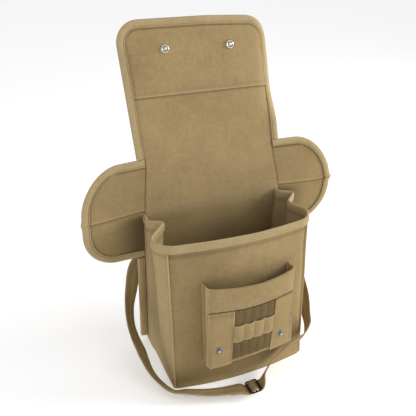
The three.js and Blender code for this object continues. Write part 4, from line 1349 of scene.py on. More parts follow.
@dataclass
class Wing:
    """One side wing: a panel of two layers with a seam across at the mouth's height."""

    side: Side
    reach: float
    head_wide: float
    head_high: float
    foot_wide: float
    fall: float
    sheet: BackSheet
    finishes: Finishes
    stitching: Stitching
    foot_high: float = 58 * MM
    curl: float = 2 * MM
    root: float = 0.5 * MM
    peak: float = 1.4 * MM

    def reach_at(self, v: float, inset: float) -> float:
        """Distance from the seam to the wing's edge at cloth height v, less an inset.

        Args:
            v: the cloth height.
            inset: how far inside the edge.

        Returns:
            The distance in metres.
        """
        head, foot = self.sheet.wing_head - inset, self.sheet.wing_foot + inset
        upper = v > (head + foot) / 2
        wide = (self.head_wide if upper else self.foot_wide) - inset
        high = (self.head_high if upper else self.foot_high) - inset
        from_edge = head - v if upper else v - foot
        share = clamp(1 - from_edge / high)
        peak = self.peak * hump(v, self.sheet.hinge + 2.5 * MM, 5 * MM)
        return self.reach - inset - wide + wide * math.sqrt(1 - share * share) + peak

    def ridge(self, d: float, v: float) -> float:
        """Height of the seam that crosses the wing, where the two halves are joined."""
        line = self.seam_line(d)
        fade = ease(d, 0.0, 6 * MM)
        return fade * (1.2 * MM * hump(v, line, 1.0 * MM) - 0.5 * MM * hump(v, line - 2.6 * MM, 1.3 * MM))

    def seam_line(self, d: float) -> float:
        """Cloth height of the seam that crosses the wing, which rises towards the body."""
        return self.sheet.hinge + 2.5 * MM + 5 * MM * (1 - clamp(d / self.reach)) ** 1.6

    def lay(self, d: float, v: float, n: float) -> Vector:
        """Lays the wing's own coordinates in space.

        Args:
            d: distance from the seam.
            v: height along the cloth.
            n: height off the middle surface towards the front.

        Returns:
            The point.
        """
        sheet = self.sheet
        out = d / self.reach
        fall = self.fall * out * (v - sheet.hinge) / sheet.wing_rise if v > sheet.hinge else 0.0
        root = sheet.drift(v) + self.side.value * sheet.seam_half(v)
        bead = self.ridge(d, v) * (1 if n > 0 else -0.6)
        return sheet.point(root + self.side.value * d, v - fall, n + bead, self.curl * out * out)

    def heights(self, inset: float) -> list[float]:
        """Cloth heights of the wing's rows, closer together at its ends and at the seam across."""
        head, foot = self.sheet.wing_head - inset, self.sheet.wing_foot + inset
        angles = spread(0, math.pi / 2, 16)
        low = [foot + (self.foot_high - inset) * (1 - math.cos(a)) for a in angles]
        high = [head - (self.head_high - inset) * (1 - math.sin(a)) for a in angles]
        seam = spread(self.sheet.hinge, self.sheet.hinge + 14 * MM, 24)
        rows = sorted([*low, *high, *seam, *spread(low[-1], high[0], 12)])
        kept = [rows[0]]
        for v in rows[1:]:
            if v - kept[-1] > 0.05 * MM:
                kept.append(v)
        return kept

    def wear(self, d: float, v: float) -> float:
        """How pale or dark the wing's cloth is: seam, painted shade along the inner line of the binding,
        and painted shadow of the body below the seam.

        Args:
            d: the distance from the seam.
            v: the cloth height.

        Returns:
            The wear, from -1, dark, to 1, rubbed pale.
        """
        sheet = self.sheet
        seam_line = self.seam_line(d)
        seam = 0.95 * hump(v, seam_line, 1.1 * MM) - 0.55 * hump(v, seam_line - 2.6 * MM, 1.5 * MM)
        middle = sheet.hinge - 2 * MM
        high = v > middle
        tall = (sheet.wing_head if high else middle) - (middle if high else sheet.wing_foot)
        up = abs(v - middle) / tall
        wide = self.reach_at(v, sheet.band)
        near_end = (1 - up) * tall - sheet.band
        inside = min(wide - d, near_end)
        # Painted shade: a dark line along the binding's inner edge.
        edge = -0.8 * hump(inside, 0.4 * MM, 1.3 * MM)
        # Painted shadow of the body on the wing's lower part, strongest near the body.
        below = ease(seam_line - v, 0.0, 14 * MM)
        painted_shade = 0.95 * (1 - ease(d, 6 * MM, 0.6 * self.reach)) * below
        return seam + edge - painted_shade - 0.18

    def build(self) -> None:
        """Builds the wing's panel, binding and stitches."""
        sheet = self.sheet
        inset = sheet.band_wall + sheet.seam
        rows, wear = [], []
        for v in self.heights(inset):
            places = spread(self.root, self.reach_at(v, inset), 44)
            rows.append([self.lay(d, v, 0.0) for d in places])
            wear.append([self.wear(d, v) for d in places])
        if self.side is Side.LEFT:
            rows, wear = [row[::-1] for row in rows], [row[::-1] for row in wear]
        piece = cloth_grid(f"{self.side.word}_wing_cloth", rows)
        # The wing's wear, with its painted shade and painted shadow.
        mark_rows(piece, wear)
        thicken(piece, sheet.wall, 0.5 * MM)
        settle(piece, self.finishes.canvas, Slot.CANVAS, f"{self.side.word}_wing")
        self.bind()

    def bind(self) -> None:
        """The bound edge round the wing."""
        sheet = self.sheet
        low, high = self.reach_at(sheet.wing_foot, 0.0), self.reach_at(sheet.wing_head, 0.0)
        foot_run = [Vector((d, sheet.wing_foot)) for d in spread(self.root, low, 6)[:-1]]
        head_run = [Vector((d, sheet.wing_head)) for d in spread(self.root, high, 6)[:-1]]
        rounded = [Vector((self.reach_at(v, 0.0), v)) for v in self.heights(0.0)]
        outline = even_outline([*foot_run, *rounded, *head_run[::-1]][::-1], 2.4 * MM)
        section = binding_section(sheet.band, sheet.band_half, sheet.band_wall)
        piece = swept(f"{self.side.word}_wing_edge", along_outline(outline, self.lay, section))
        dress_binding(piece, self.finishes.binding, f"{self.side.word}_wing_binding")
        line = inset_outline(outline, sheet.band * 0.81)
        height = sheet.band_half * 0.74
        sewn_on_sheet(self.stitching, f"{self.side.word}_wing_stitches", line[2:-2], self.lay, height)


@dataclass
class Body:
    """Gussets, front panel, base, mouth binding and the piped front seams."""

    wall: BodyWall
    finishes: Finishes
    stitching: Stitching
    welt_proud: float = 2.6 * MM
    welt_width: float = 1.8 * MM

    def build(self) -> None:
        """Builds the body's pieces."""
        left, right = self.wall.seam_index, self.wall.chain_length - 1 - self.wall.seam_index
        self.panel("left_gusset", 0, left)
        self.panel("front_panel", left, right)
        self.panel("right_gusset", right, self.wall.chain_length - 1)
        self.base()
        self.mouth()
        for side, index in ((Side.LEFT, left), (Side.RIGHT, right)):
            self.welt(side, index)

    def panel(self, node: str, start: int, end: int) -> None:
        """One stretch of the wall between two places of its plan.

        Args:
            node: the CAD node that it stands for.
            start: the first place in the chain.
            end: the last place in the chain.
        """
        wall, sheet = self.wall, self.wall.sheet
        heights = spread(wall.base_wall + sheet.seam, wall.top, 44)
        heights.append(sheet.hinge - sheet.band_wall - sheet.seam)
        rows = []
        for z in heights:
            chain = wall.chain(z)
            rows.append([wall.point(chain, i, z, 0.0) for i in range(start, end + 1)])
        piece = cloth_grid(f"{node}_cloth", rows)
        width = max(abs(spot.uv.x) for spot in piece.data.uv_layers[CLOTH_UV].data)
        # Painted shade darkens the front panel's left part, beside and under the pocket; painted light
        # makes the gussets paler.
        painted_shade, rub = (0.27, 0.0) if node == "front_panel" else (0.0, 0.25)
        mark_wear_and_painted_shading(
            piece,
            lambda u, v: 0.3 * hump(v, 0, 5)
            - 0.45 * hump(v, 219, 3)
            - 0.4 * hump(abs(u), width, 2.5)
            - 0.12 * hump(v, 20, 16)
            - painted_shade * (1 - ease(u, -75, 10))
            + rub,
        )
        thicken(piece, sheet.wall, 0.5 * MM)
        settle(piece, self.finishes.canvas, Slot.CANVAS, node)

    def base(self) -> None:
        """The base panel, a flat plate under the foot of the walls."""
        wall, sheet = self.wall, self.wall.sheet
        chain = wall.chain(0.0)
        outline = [wall.point(chain, i, 0.0, sheet.wall / 2) for i in range(len(chain))]
        for sign in (1, -1):
            x = sign * (sheet.half - wall.seam_inset + sheet.wall / 2)
            outline.append(Vector((x, sheet.depth + sheet.set_back(x, 0.0), 0.0)))
        deselect_all()
        bpy.ops.mesh.primitive_circle_add(vertices=len(outline), radius=0.1, fill_type="NGON")
        piece = bpy.context.object
        piece.name = piece.data.name = "base_cloth"
        flat = [(p.x, p.y, 0.0) for p in outline]
        piece.data.vertices.foreach_set("co", np.array(flat).ravel())
        make_active(piece)
        bpy.ops.object.mode_set(mode="EDIT")
        bpy.ops.mesh.select_all(action="SELECT")
        bpy.ops.mesh.extrude_region_move(TRANSFORM_OT_translate={"value": (0, 0, wall.base_wall)})
        bpy.ops.mesh.select_all(action="SELECT")
        bpy.ops.mesh.normals_make_consistent(inside=False)
        bpy.ops.object.mode_set(mode="OBJECT")
        layer = piece.data.uv_layers.active or piece.data.uv_layers.new()
        layer.name = CLOTH_UV
        for loop in piece.data.loops:
            spot = piece.data.vertices[loop.vertex_index].co
            layer.data[loop.index].uv = (spot.x / MM, spot.y / MM)
        mark_wear_and_painted_shading(piece, lambda u, v: 0.2)
        round_edges(piece, 0.5 * MM)
        settle(piece, self.finishes.canvas, Slot.CANVAS, "base")

    def mouth(self) -> None:
        """The binding folded over the mouth's edge, sewn down below it."""
        wall, sheet = self.wall, self.wall.sheet
        section = binding_section(sheet.mouth_band, sheet.band_half, sheet.band_wall, beaded=False)
        rings = []
        path, normals = [], []
        sewn = sheet.hinge - sheet.mouth_band * 0.81
        chain = wall.chain(sheet.hinge)
        for i in range(len(chain)):
            pucker = 1 + 0.06 * noise.noise(Vector((i / 1.7, 5.0, 0.0)))
            sag = 0.8 * MM * noise.noise(Vector((chain[i].x / (45 * MM), chain[i].y / (45 * MM), 2.0)))
            ring = []
            for d, n in section:
                spot = wall.point(chain, i, sheet.hinge - d, n * pucker)
                spot.z += sag * ease(i, 0, 10) * ease(len(chain) - 1 - i, 0, 10)
                ring.append(spot)
            rings.append(ring)
            path.append(wall.point(chain, i, sewn, sheet.band_half * 0.76))
            normals.append(path[-1] - wall.point(chain, i, sewn, 0.0))
        piece = swept("mouth_edge_binding", rings)
        dress_binding(piece, self.finishes.binding, "mouth_binding", 0.15)
        self.stitching.sew("mouth_stitches", path, normals)

    def welt(self, side: Side, index: int) -> None:
        """The piped seam that stands out along one front corner.

        Args:
            side: the side that it is on.
            index: the corner's point in the wall's chain.
        """
        wall, sheet = self.wall, self.wall.sheet
        near = sheet.wall / 2
        rings = []
        path, normals = [], []
        for z in spread(wall.base_wall + 0.3 * MM, wall.top - 0.3 * MM, 74):
            chain = wall.chain(z)
            foot = wall.point(chain, index, z, near)
            out = (wall.point(chain, index, z, near + MM) - foot).normalized()
            along = Vector((-out.y, out.x, 0.0))
            half = self.welt_width / 2 * (1 + 0.12 * noise.noise(Vector((z / (7 * MM), 1.0, 0.0))))
            tall = self.welt_proud * (1 + 0.08 * noise.noise(Vector((z / (16 * MM), 4.0, 0.0))))
            ring = [foot - along * half * 1.5]
            for angle in spread(math.pi, 0, 8):
                rise = tall * (0.55 + 0.45 * math.sin(angle))
                ring.append(foot + along * half * math.cos(angle) + out * rise)
            ring += [foot + along * half * 1.5, foot]
            rings.append(ring)
            path.append(foot + out * tall * 0.45 + along * half * 1.02 * side.value)
            normals.append(along * side.value)
        piece = swept(f"{side.word}_front_seam", rings)
        mark_wear_and_painted_shading(piece, lambda u, v: 0.25)
        settle(piece, self.finishes.binding, Slot.BINDING, f"{side.word}_welt")
        self.stitching.sew(f"{side.word}_front_seam_stitches", path, normals)


@dataclass
class FrontPocket:
    """The bellows pocket with its hem, snap tabs and pen holder."""

    wall: BodyWall
    finishes: Finishes
    stitching: Stitching
    shift: float = 6 * MM
    half: float = 68 * MM
    depth: float = 18 * MM
    foot: float = 50 * MM
    top: float = 177 * MM
    rise: float = 9 * MM
    sag: float = 7 * MM
    corner: float = 5 * MM
    corner_lift: float = 2.2 * MM
    hem_drop: float = 36 * MM
    hem_wall: float = 1.1 * MM
    tab_width: float = 38 * MM
    tab_wall: float = 2 * MM
    layer_step: float = 2.2 * MM
    pen_foot: float = 6 * MM
    strip_low: float = 86 * MM
    strip_high: float = 114 * MM
    loops: int = 4
    crumple: Crumple = Crumple(1.6 * MM, 55 * MM, 0.4 * MM, 15 * MM, 5.1)

    def skin(self, x: float, z: float) -> float:
        """Y of the pocket's outer face, with its unevenness."""
        soft = self.crumple.at(x, 0.0, z) * ease(z, self.foot - 4 * MM, self.foot + 25 * MM)
        across = clamp((x - self.shift) / self.half, -1, 1)
        belly = 2.0 * MM * (1 - across**2) * ease(z, self.foot, self.foot + 60 * MM)
        return self.wall.face_y(x, z) - self.depth - soft - belly * 0.6

    def drape(self, x: float, z: float) -> float:
        """Height of a point that would lie at height z if the cloth hung straight."""
        across = clamp((x - self.shift) / self.half, -1, 1)
        up = (z - self.foot) / (self.top - self.foot)
        return z + (1 - up) * across * self.rise / 2 - up**3 * self.sag * (1 - across**2)

    def plan(self, z: float) -> list[Vector]:
        """Plan of the pocket's wall at height z: side, face and side."""
        wall = self.wall.sheet.wall
        reach = self.half - 2 * self.corner
        face = []
        for a in spread(-reach, reach, 40):
            x = self.shift + a
            face.append((x, self.skin(x, z) + wall / 2, 0.0))
        sides = []
        for sign in (-1, 1):
            x = self.shift + sign * (self.half - wall / 2)
            back, front = self.wall.face_y(x, z) - 0.6 * MM, self.skin(x, z) + wall / 2
            pleat = sign * 1.6 * MM * ease(z, self.foot, self.foot + 40 * MM)
            sides.append([
                (x + pleat * 0.3, back, 0.0),
                (x - pleat, mix(back, front, 0.45), 3 * MM),
                (x + pleat * 0.4, front, self.corner),
            ])
        first = rounded_chain([*sides[0], face[0]], 6, 4)
        last = rounded_chain([face[-1], *sides[1][::-1]], 6, 4)
        return [*first, *(Vector((x, y)) for x, y, _ in face[1:-1]), *last]

    def build(self) -> None:
        """Builds the pocket's pieces."""
        self.shell()
        self.floor()
        self.hem()
        self.tabs()
        self.pens()

    def shell(self) -> None:
        """The bellows: side, face and side in one cloth, its top corners a little raised."""
        rows = []
        for z in spread(self.foot, self.top, 40):
            plan = self.plan(z)
            count = len(plan) - 1
            row = []
            up = ((z - self.foot) / (self.top - self.foot)) ** 6
            for i, spot in enumerate(plan):
                height = self.drape(spot.x, z)
                moved = self.plan(height)[i]
                lift = self.corner_lift * up * hump(min(i, count - i), 14, 6)
                row.append(Vector((moved.x, moved.y, height + lift)))
            rows.append(row)
        piece = cloth_grid("pocket_cloth", rows)
        mark_wear_and_painted_shading(
            piece,
            lambda u, v: 0.5 * hump(v, 0, 3)
            + 0.55 * hump(v, 127, 2)
            + 0.35 * hump(abs(u), 68, 2.5)
            - 0.3 * hump(abs(u), 76, 4),
        )
        thicken(piece, self.wall.sheet.wall, 0.7 * MM)
        settle(piece, self.finishes.canvas, Slot.CANVAS, "pocket")

    def floor(self) -> None:
        """The bottom of the bellows."""
        wall = self.wall.sheet.wall
        half = self.half - wall - 1.5 * MM
        rows = []
        for depth in spread(0, 1, 6):
            row = []
            for a in spread(-half, half, 40):
                x = self.shift + a
                z = self.drape(x, self.foot + wall / 2)
                near = self.wall.face_y(x, z) - 0.6 * MM
                far = self.skin(x, z) + wall + 0.4 * MM
                row.append(Vector((x, mix(far, near, depth), z)))
            rows.append(row)
        piece = cloth_grid("pocket_floor_cloth", rows)
        mark_wear_and_painted_shading(piece, lambda u, v: -0.1)
        thicken(piece, wall, 0.5 * MM)
        settle(piece, self.finishes.canvas, Slot.CANVAS, "pocket_floor")

    def layer(
        self,
        sides: Callable[[float], tuple[float, float]],
        heights: Sequence[float],
        off: float,
        columns: int,
        swell: Shade = lambda s, t: 0.0,
    ) -> Rows:
        """Rows of a layer sewn on the pocket's face.

        Args:
            sides: gives the left and right edge for a share of the layer's height.
            heights: the rows' heights as the cloth hangs straight.
            off: the distance in front of the face.
            columns: steps across.
            swell: gives the extra distance for shares across and up.

        Returns:
            The rows of points.
        """
        rows = []
        for k, z in enumerate(heights):
            up = k / (len(heights) - 1)
            low, high = sides(up)
            row = []
            for share in spread(0, 1, columns):
                x = mix(low, high, share)
                height = self.drape(x, z)
                row.append(Vector((x, self.skin(x, height) - off - swell(share, up), height)))
            rows.append(row)
        return rows

    def hem(self) -> None:
        """The deep hem folded down over the pocket's mouth."""
        reach = self.half - self.corner - 0.5 * MM
        low = self.top - self.hem_drop
        off = 0.15 * MM + self.hem_wall / 2
        heights = spread(low, self.top - 0.4 * MM, 16)

        def swell(share: float, up: float) -> float:
            """The hem's fullness, its folded edge and its pinched ends."""
            end = 1 - ease(min(share, 1 - share), 0.0, 0.06)
            edge = 0.8 * MM * hump(up, 0.0, 0.035) + 0.5 * MM * math.sin(math.pi * up)
            return edge * (1 - end) - 1.0 * MM * end

        sides = (self.shift - reach, self.shift + reach)
        piece = cloth_grid("pocket_hem_cloth", self.layer(lambda up: sides, heights, off, 44, swell))
        mark_wear_and_painted_shading(piece, lambda u, v: 0.5 * hump(v, 0.5, 1.4) + 0.6 * hump(v, 35.5, 1.8))
        thicken(piece, self.hem_wall, 0.4 * MM)
        settle(piece, self.finishes.canvas, Slot.CANVAS, "pocket_hem")
        sewn = reach - 9 * MM
        line = [(a, low + 2.4 * MM) for a in spread(-sewn, sewn, 50)]
        self.sew_face("hem_stitches", line, self.hem_wall + 0.75 * MM)

    def sew_face(self, name: str, line: Pairs, off: float) -> None:
        """Sews a line on the pocket's face.

        Args:
            name: the new piece's name.
            line: pairs of the sideways place from the pocket's middle, and the height.
            off: the distance in front of the face.
        """
        path, normals = [], []
        for a, z in line:
            x = self.shift + a
            height = self.drape(x, z)
            path.append(Vector((x, self.skin(x, height) - off, height)))
            slope = (self.skin(x, height + 2 * MM) - self.skin(x, height - 2 * MM)) / (4 * MM)
            normals.append(Vector((0.0, -1.0, slope)).normalized())
        path = even_outline(path, 1.5 * MM)
        normals = [normals[0].lerp(normals[-1], i / (len(path) - 1)) for i in range(len(path))]
        self.stitching.sew(name, path, normals)

    @property
    def tab_head(self) -> float:
        """Height of the tabs' upper edges, below the hem."""
        return self.top - self.hem_drop - self.layer_step

    def tab_sides(self, side: Side, up: float) -> tuple[float, float]:
        """Left and right edge of a tab, from the pocket's middle, at a share of its height."""
        reach = self.half - 1.8 * MM
        if side is Side.LEFT:
            return -reach, -reach + self.tab_width - 4.5 * MM * (1 - up)
        return reach - self.tab_width + 7 * MM * up, reach

    def tabs(self) -> None:
        """The two stiff tabs that carry the snap studs, turned in and sewn all round."""
        for side in Side:
            name = f"{side.word}_tab"

            def sides(up: float, side: Side = side) -> tuple[float, float]:
                """The tab's left and right edge."""
                low, high = self.tab_sides(side, up)
                return self.shift + low, self.shift + high

            def swell(share: float, up: float) -> float:
                """The tab's raised rim and soft middle."""
                edge = min(share * 8, (1 - share) * 8, up * 16, (1 - up) * 16, 1.0)
                return 0.5 * MM * (1 - edge) + 0.25 * MM * math.sin(math.pi * share)

            heights = spread(self.foot - 0.5 * MM, self.tab_head, 34)
            off = 0.1 * MM + self.tab_wall / 2
            piece = cloth_grid(f"{name}_cloth", self.layer(sides, heights, off, 18, swell))
            wide = self.tab_width / 2 / MM
            # Pale edges, a dark line along the stitching, and a painted shadow of the hem across the tab's
            # top.
            mark_wear_and_painted_shading(
                piece,
                lambda u, v: 0.75 * hump(abs(u), wide, 1.5)
                - 0.4 * hump(abs(u), wide - 3.4, 1.0)
                + 0.6 * hump(v, 0, 1.8)
                - 0.3 * hump(v, 86, 3),
            )
            thicken(piece, self.tab_wall, 0.8 * MM)
            settle(piece, self.finishes.canvas, Slot.CANVAS, name)
            self.sew_tab(side, 2.6 * MM)

    def sew_tab(self, side: Side, inset: float) -> None:
        """The line of stitches down both edges and across the foot of a tab.

        Args:
            side: the side that it is on.
            inset: the stitches' distance from the edge.
        """
        low_foot, high_foot = self.tab_sides(side, 0.0)
        low_head, high_head = self.tab_sides(side, 1.0)
        head, foot = self.tab_head - 2 * MM, self.foot + inset
        down = [(mix(low_head, low_foot, s) + inset, mix(head, foot, s)) for s in spread(0, 1, 30)]
        across = [(mix(low_foot + inset, high_foot - inset, s), foot) for s in spread(0, 1, 12)]
        rise = [(mix(high_foot, high_head, s) - inset, mix(foot, head, s)) for s in spread(0, 1, 30)]
        line = [*down, *across[1:], *rise[1:]]
        self.sew_face(f"{side.word}_tab_stitches", line, self.tab_wall + 0.25 * MM)

    def pens(self) -> None:
        """The dark ribbed backing between the tabs, and the strip of pen loops across it."""
        ribs = 5

        def sides(up: float) -> tuple[float, float]:
            """The backing's left and right edge between the tabs."""
            low = self.tab_sides(Side.LEFT, up)[1] + 0.3 * MM
            high = self.tab_sides(Side.RIGHT, up)[0] - 0.3 * MM
            return self.shift + low, self.shift + high

        def rib(share: float, up: float) -> float:
            """The backing's round ribs."""
            return 1.1 * MM * abs(math.sin(math.pi * ribs * share)) ** 0.7

        heights = spread(self.foot + self.pen_foot, self.tab_head, 30)
        piece = cloth_grid("pen_backing_cloth", self.layer(sides, heights, 0.6 * MM, 60, rib))
        mark_wear_and_painted_shading(piece, lambda u, v: 0.35 * hump(v, 0, 2))
        thicken(piece, 1.0 * MM, 0.3 * MM)
        settle(piece, self.finishes.pen_cloth, Slot.PEN_CLOTH, "pen_backing")

        def strip_sides(up: float) -> tuple[float, float]:
            """The strip's left and right edge."""
            share = mix(0.36, 0.69, up)
            low, high = sides(share)
            return low - 0.3 * MM, high + 0.3 * MM

        def puff(share: float, up: float) -> float:
            """How far each pen loop stands out."""
            loop = abs(math.sin(math.pi * self.loops * share)) ** 0.6
            return 2.4 * MM * loop * (0.75 + 0.25 * math.cos(math.pi * 2 * (up - 0.5)))

        heights = spread(self.strip_low, self.strip_high, 14)
        rows = self.layer(strip_sides, heights, 2.4 * MM, 64, puff)
        for row in rows:
            for k, point in enumerate(row):
                loop = abs(math.sin(math.pi * self.loops * k / 64)) ** 0.6
                point.z -= 1.2 * MM * loop
        piece = cloth_grid("pen_strip_cloth", rows)
        mark_wear_and_painted_shading(piece, lambda u, v: 0.4 * hump(v, 0, 2) + 0.45 * hump(v, 28, 2))
        thicken(piece, 1.2 * MM, 0.4 * MM)
        settle(piece, self.finishes.canvas, Slot.CANVAS, "pen_strip")


# Profiles of the snap parts, from the rim to the middle: shares of the radius and heights in mm
SOCKET = (
    (1.0, 0.0), (1.0, 0.9), (0.95, 1.5), (0.86, 2.0), (0.74, 2.2), (0.62, 2.0),
    (0.56, 1.3), (0.5, 1.2), (0.44, 1.6), (0.32, 2.0), (0.16, 2.2), (0.05, 2.2),
)
STUD = (
    (0.9, 0.0), (0.9, 0.35), (0.82, 0.75), (0.66, 0.8), (0.56, 1.1), (0.45, 1.7),
    (0.42, 2.4), (0.5, 2.9), (0.5, 3.3), (0.4, 3.7), (0.2, 3.85), (0.06, 3.7),
)
CAP = ((1.0, 0.0), (1.0, 0.45), (0.96, 0.9), (0.84, 1.5), (0.6, 2.05), (0.3, 2.35), (0.06, 2.4))


@dataclass
class Snaps:
    """Press studs on the pocket's tabs, their sockets inside the flap and the caps behind."""

    sheet: BackSheet
    pocket: FrontPocket
    finishes: Finishes
    spacing: float = 97 * MM
    radius: float = 6.2 * MM
    cap_radius: float = 7.4 * MM
    flap_place: float = 41 * MM
    flap_shift: float = 1 * MM
    pocket_place: float = 76 * MM
    pocket_shift: float = 3.5 * MM
    rounds: int = 40

    def build(self) -> None:
        """Builds the six snap parts."""
        for side in Side:
            for word, shape, radius, (place, out), tarnish in (
                ("stud", STUD, self.radius, self.on_tab(side), self.on_stud),
                ("socket", SOCKET, self.radius, self.on_flap(side, 1), self.in_socket),
                ("cap", CAP, self.cap_radius, self.on_flap(side, -1), lambda share: 0.3),
            ):
                profile = [(radius * share, height * MM) for share, height in shape]
                name, node = f"{side.word}_{word}", f"{side.word}_snap_{word}"
                self.turned(name, profile, place, out, node, tarnish)

    @staticmethod
    def on_stud(share: float) -> float:
        """Tarnish of a stud: dark on its flange and round its neck."""
        return clamp(0.55 + 0.4 * hump(share, 0.62, 0.2) - 0.5 * hump(share, 0.3, 0.12))

    @staticmethod
    def in_socket(share: float) -> float:
        """Tarnish of a socket: dark in the groove between its rim and its middle."""
        return clamp(0.95 * hump(share, 0.53, 0.08) + 0.05)

    def on_tab(self, side: Side) -> tuple[Vector, Vector]:
        """Place and direction of the stud on one tab."""
        pocket = self.pocket
        x = pocket.shift - self.pocket_shift + side.value * self.spacing / 2
        z = self.pocket_place
        slope_x = (pocket.skin(x + MM, z) - pocket.skin(x - MM, z)) / (2 * MM)
        slope_z = (pocket.skin(x, z + MM) - pocket.skin(x, z - MM)) / (2 * MM)
        out = Vector((slope_x, -1.0, slope_z)).normalized()
        return Vector((x, pocket.skin(x, z), z)) + out * (pocket.tab_wall + 0.15 * MM), out

    def on_flap(self, side: Side, facing: int) -> tuple[Vector, Vector]:
        """Place and direction of a snap part on the flap, inside with facing 1, outside with -1.

        Args:
            side: the side that it is on.
            facing: 1 for the flap's inside, -1 for its outside.

        Returns:
            The place and the unit direction.
        """
        sheet = self.sheet
        v = sheet.flap_end - self.flap_place
        a = sheet.drift(v) + self.flap_shift + side.value * self.spacing / 2
        depth = sheet.wall / 2 + (1.0 * MM if facing > 0 else 0.0)
        place = sheet.point(a, v, facing * depth)
        out = (sheet.point(a, v, facing * (depth + MM)) - place).normalized()
        return place, out

    def turned(
        self,
        name: str,
        profile: Pairs,
        place: Vector,
        out: Vector,
        node: str,
        dark: Callable[[float], float],
    ) -> None:
        """A round pressed part: a disc whose edge is drawn up and in, ring after ring.

        Args:
            name: the new piece's name.
            profile: radius and height of each ring, from the rim to the middle.
            place: the point that it stands on.
            out: the direction of its axis.
            node: the CAD node that it stands for.
            dark: gives the tarnish, 0 to 1, for a share of the radius.
        """
        deselect_all()
        radius = profile[0][0]
        bpy.ops.mesh.primitive_circle_add(vertices=self.rounds, radius=radius, fill_type="NGON")
        piece = bpy.context.object
        piece.name = piece.data.name = name
        bpy.ops.object.mode_set(mode="EDIT")
        bpy.ops.mesh.select_all(action="SELECT")
        bpy.ops.mesh.flip_normals()
        for (r0, h0), (r1, h1) in zip(profile, profile[1:], strict=False):
            bpy.ops.mesh.extrude_region_move(TRANSFORM_OT_translate={"value": (0, 0, h1 - h0)})
            scale = r1 / r0
            bpy.ops.transform.resize(value=(scale, scale, 1.0), center_override=(0, 0, h1))
        bpy.ops.mesh.select_all(action="SELECT")
        bpy.ops.mesh.normals_make_consistent(inside=False)
        bpy.ops.object.mode_set(mode="OBJECT")
        turn = Vector((0, 0, 1)).rotation_difference(out).to_matrix().to_4x4()
        mark_rows(piece, [[dark(math.hypot(v.co.x, v.co.y) / radius) for v in piece.data.vertices]])
        piece.data.transform(Matrix.Translation(place) @ turn)
        shade_smooth(piece, 50.0)
        settle(piece, self.finishes.nickel, Slot.SNAP, node)


# The strap's route from the left rear seam round the front to the right rear seam: x, y and z as
# shares of the body's half width, depth and height, and the direction across the webbing.
STRAP_ROUTE = (
    (-0.606, 0.994, 0.903, 0.80, 0.06, -0.60),
    (-0.771, 1.013, 0.802, 0.80, 0.06, -0.60),
    (-0.936, 1.075, 0.700, 0.75, 0.00, -0.66),
    (-1.101, 1.119, 0.631, 0.87, 0.24, -0.44),
    (-1.212, 1.046, 0.445, 0.85, 0.40, -0.35),
    (-1.282, 0.807, 0.349, 0.63, 0.51, -0.59),
    (-1.314, 0.477, 0.281, 0.57, 0.49, -0.66),
    (-1.306, 0.165, 0.231, 0.62, 0.42, -0.66),
    (-1.281, -0.215, 0.194, 0.66, 0.47, -0.59),
    (-1.259, -0.393, 0.152, 0.56, 0.65, -0.51),
    (-1.214, -0.681, 0.093, 0.46, 0.64, -0.62),
    (-1.143, -0.954, 0.059, 0.46, 0.57, -0.68),
    (-1.020, -1.322, 0.040, 0.45, 0.62, -0.65),
    (-0.864, -1.463, 0.040, 0.33, 0.79, -0.53),
    (-0.582, -1.685, 0.033, 0.28, 0.87, -0.41),
    (-0.363, -1.805, 0.035, 0.25, 0.90, -0.35),
    (-0.206, -1.883, 0.040, 0.27, 0.93, -0.25),
    (-0.071, -1.961, 0.045, 0.23, 0.96, -0.15),
    (0.034, -1.981, 0.053, -0.05, 0.93, -0.37),
    (0.140, -1.884, 0.072, -0.02, 0.50, -0.87),
    (0.268, -1.698, 0.086, -0.03, 0.40, -0.92),
    (0.403, -1.526, 0.104, 0.07, 0.51, -0.86),
    (0.560, -1.470, 0.148, 0.10, 0.57, -0.81),
    (0.705, -1.413, 0.177, 0.02, 0.56, -0.83),
    (0.860, -1.400, 0.196, -0.15, 0.42, -0.89),
    (1.026, -1.180, 0.198, -0.23, 0.19, -0.95),
    (1.173, -0.738, 0.178, -0.20, 0.20, -0.96),
    (1.272, -0.294, 0.190, -0.25, 0.52, -0.82),
    (1.352, 0.055, 0.209, -0.27, 0.53, -0.80),
    (1.395, 0.404, 0.252, -0.30, 0.71, -0.64),
    (1.327, 0.862, 0.422, -0.47, 0.67, -0.58),
    (1.203, 1.259, 0.553, -0.86, 0.00, -0.50),
    (0.982, 1.218, 0.684, -0.81, 0.00, -0.59),
    (0.789, 1.118, 0.802, -0.80, 0.00, -0.60),
    (0.624, 1.079, 0.903, -0.80, 0.00, -0.60),
)


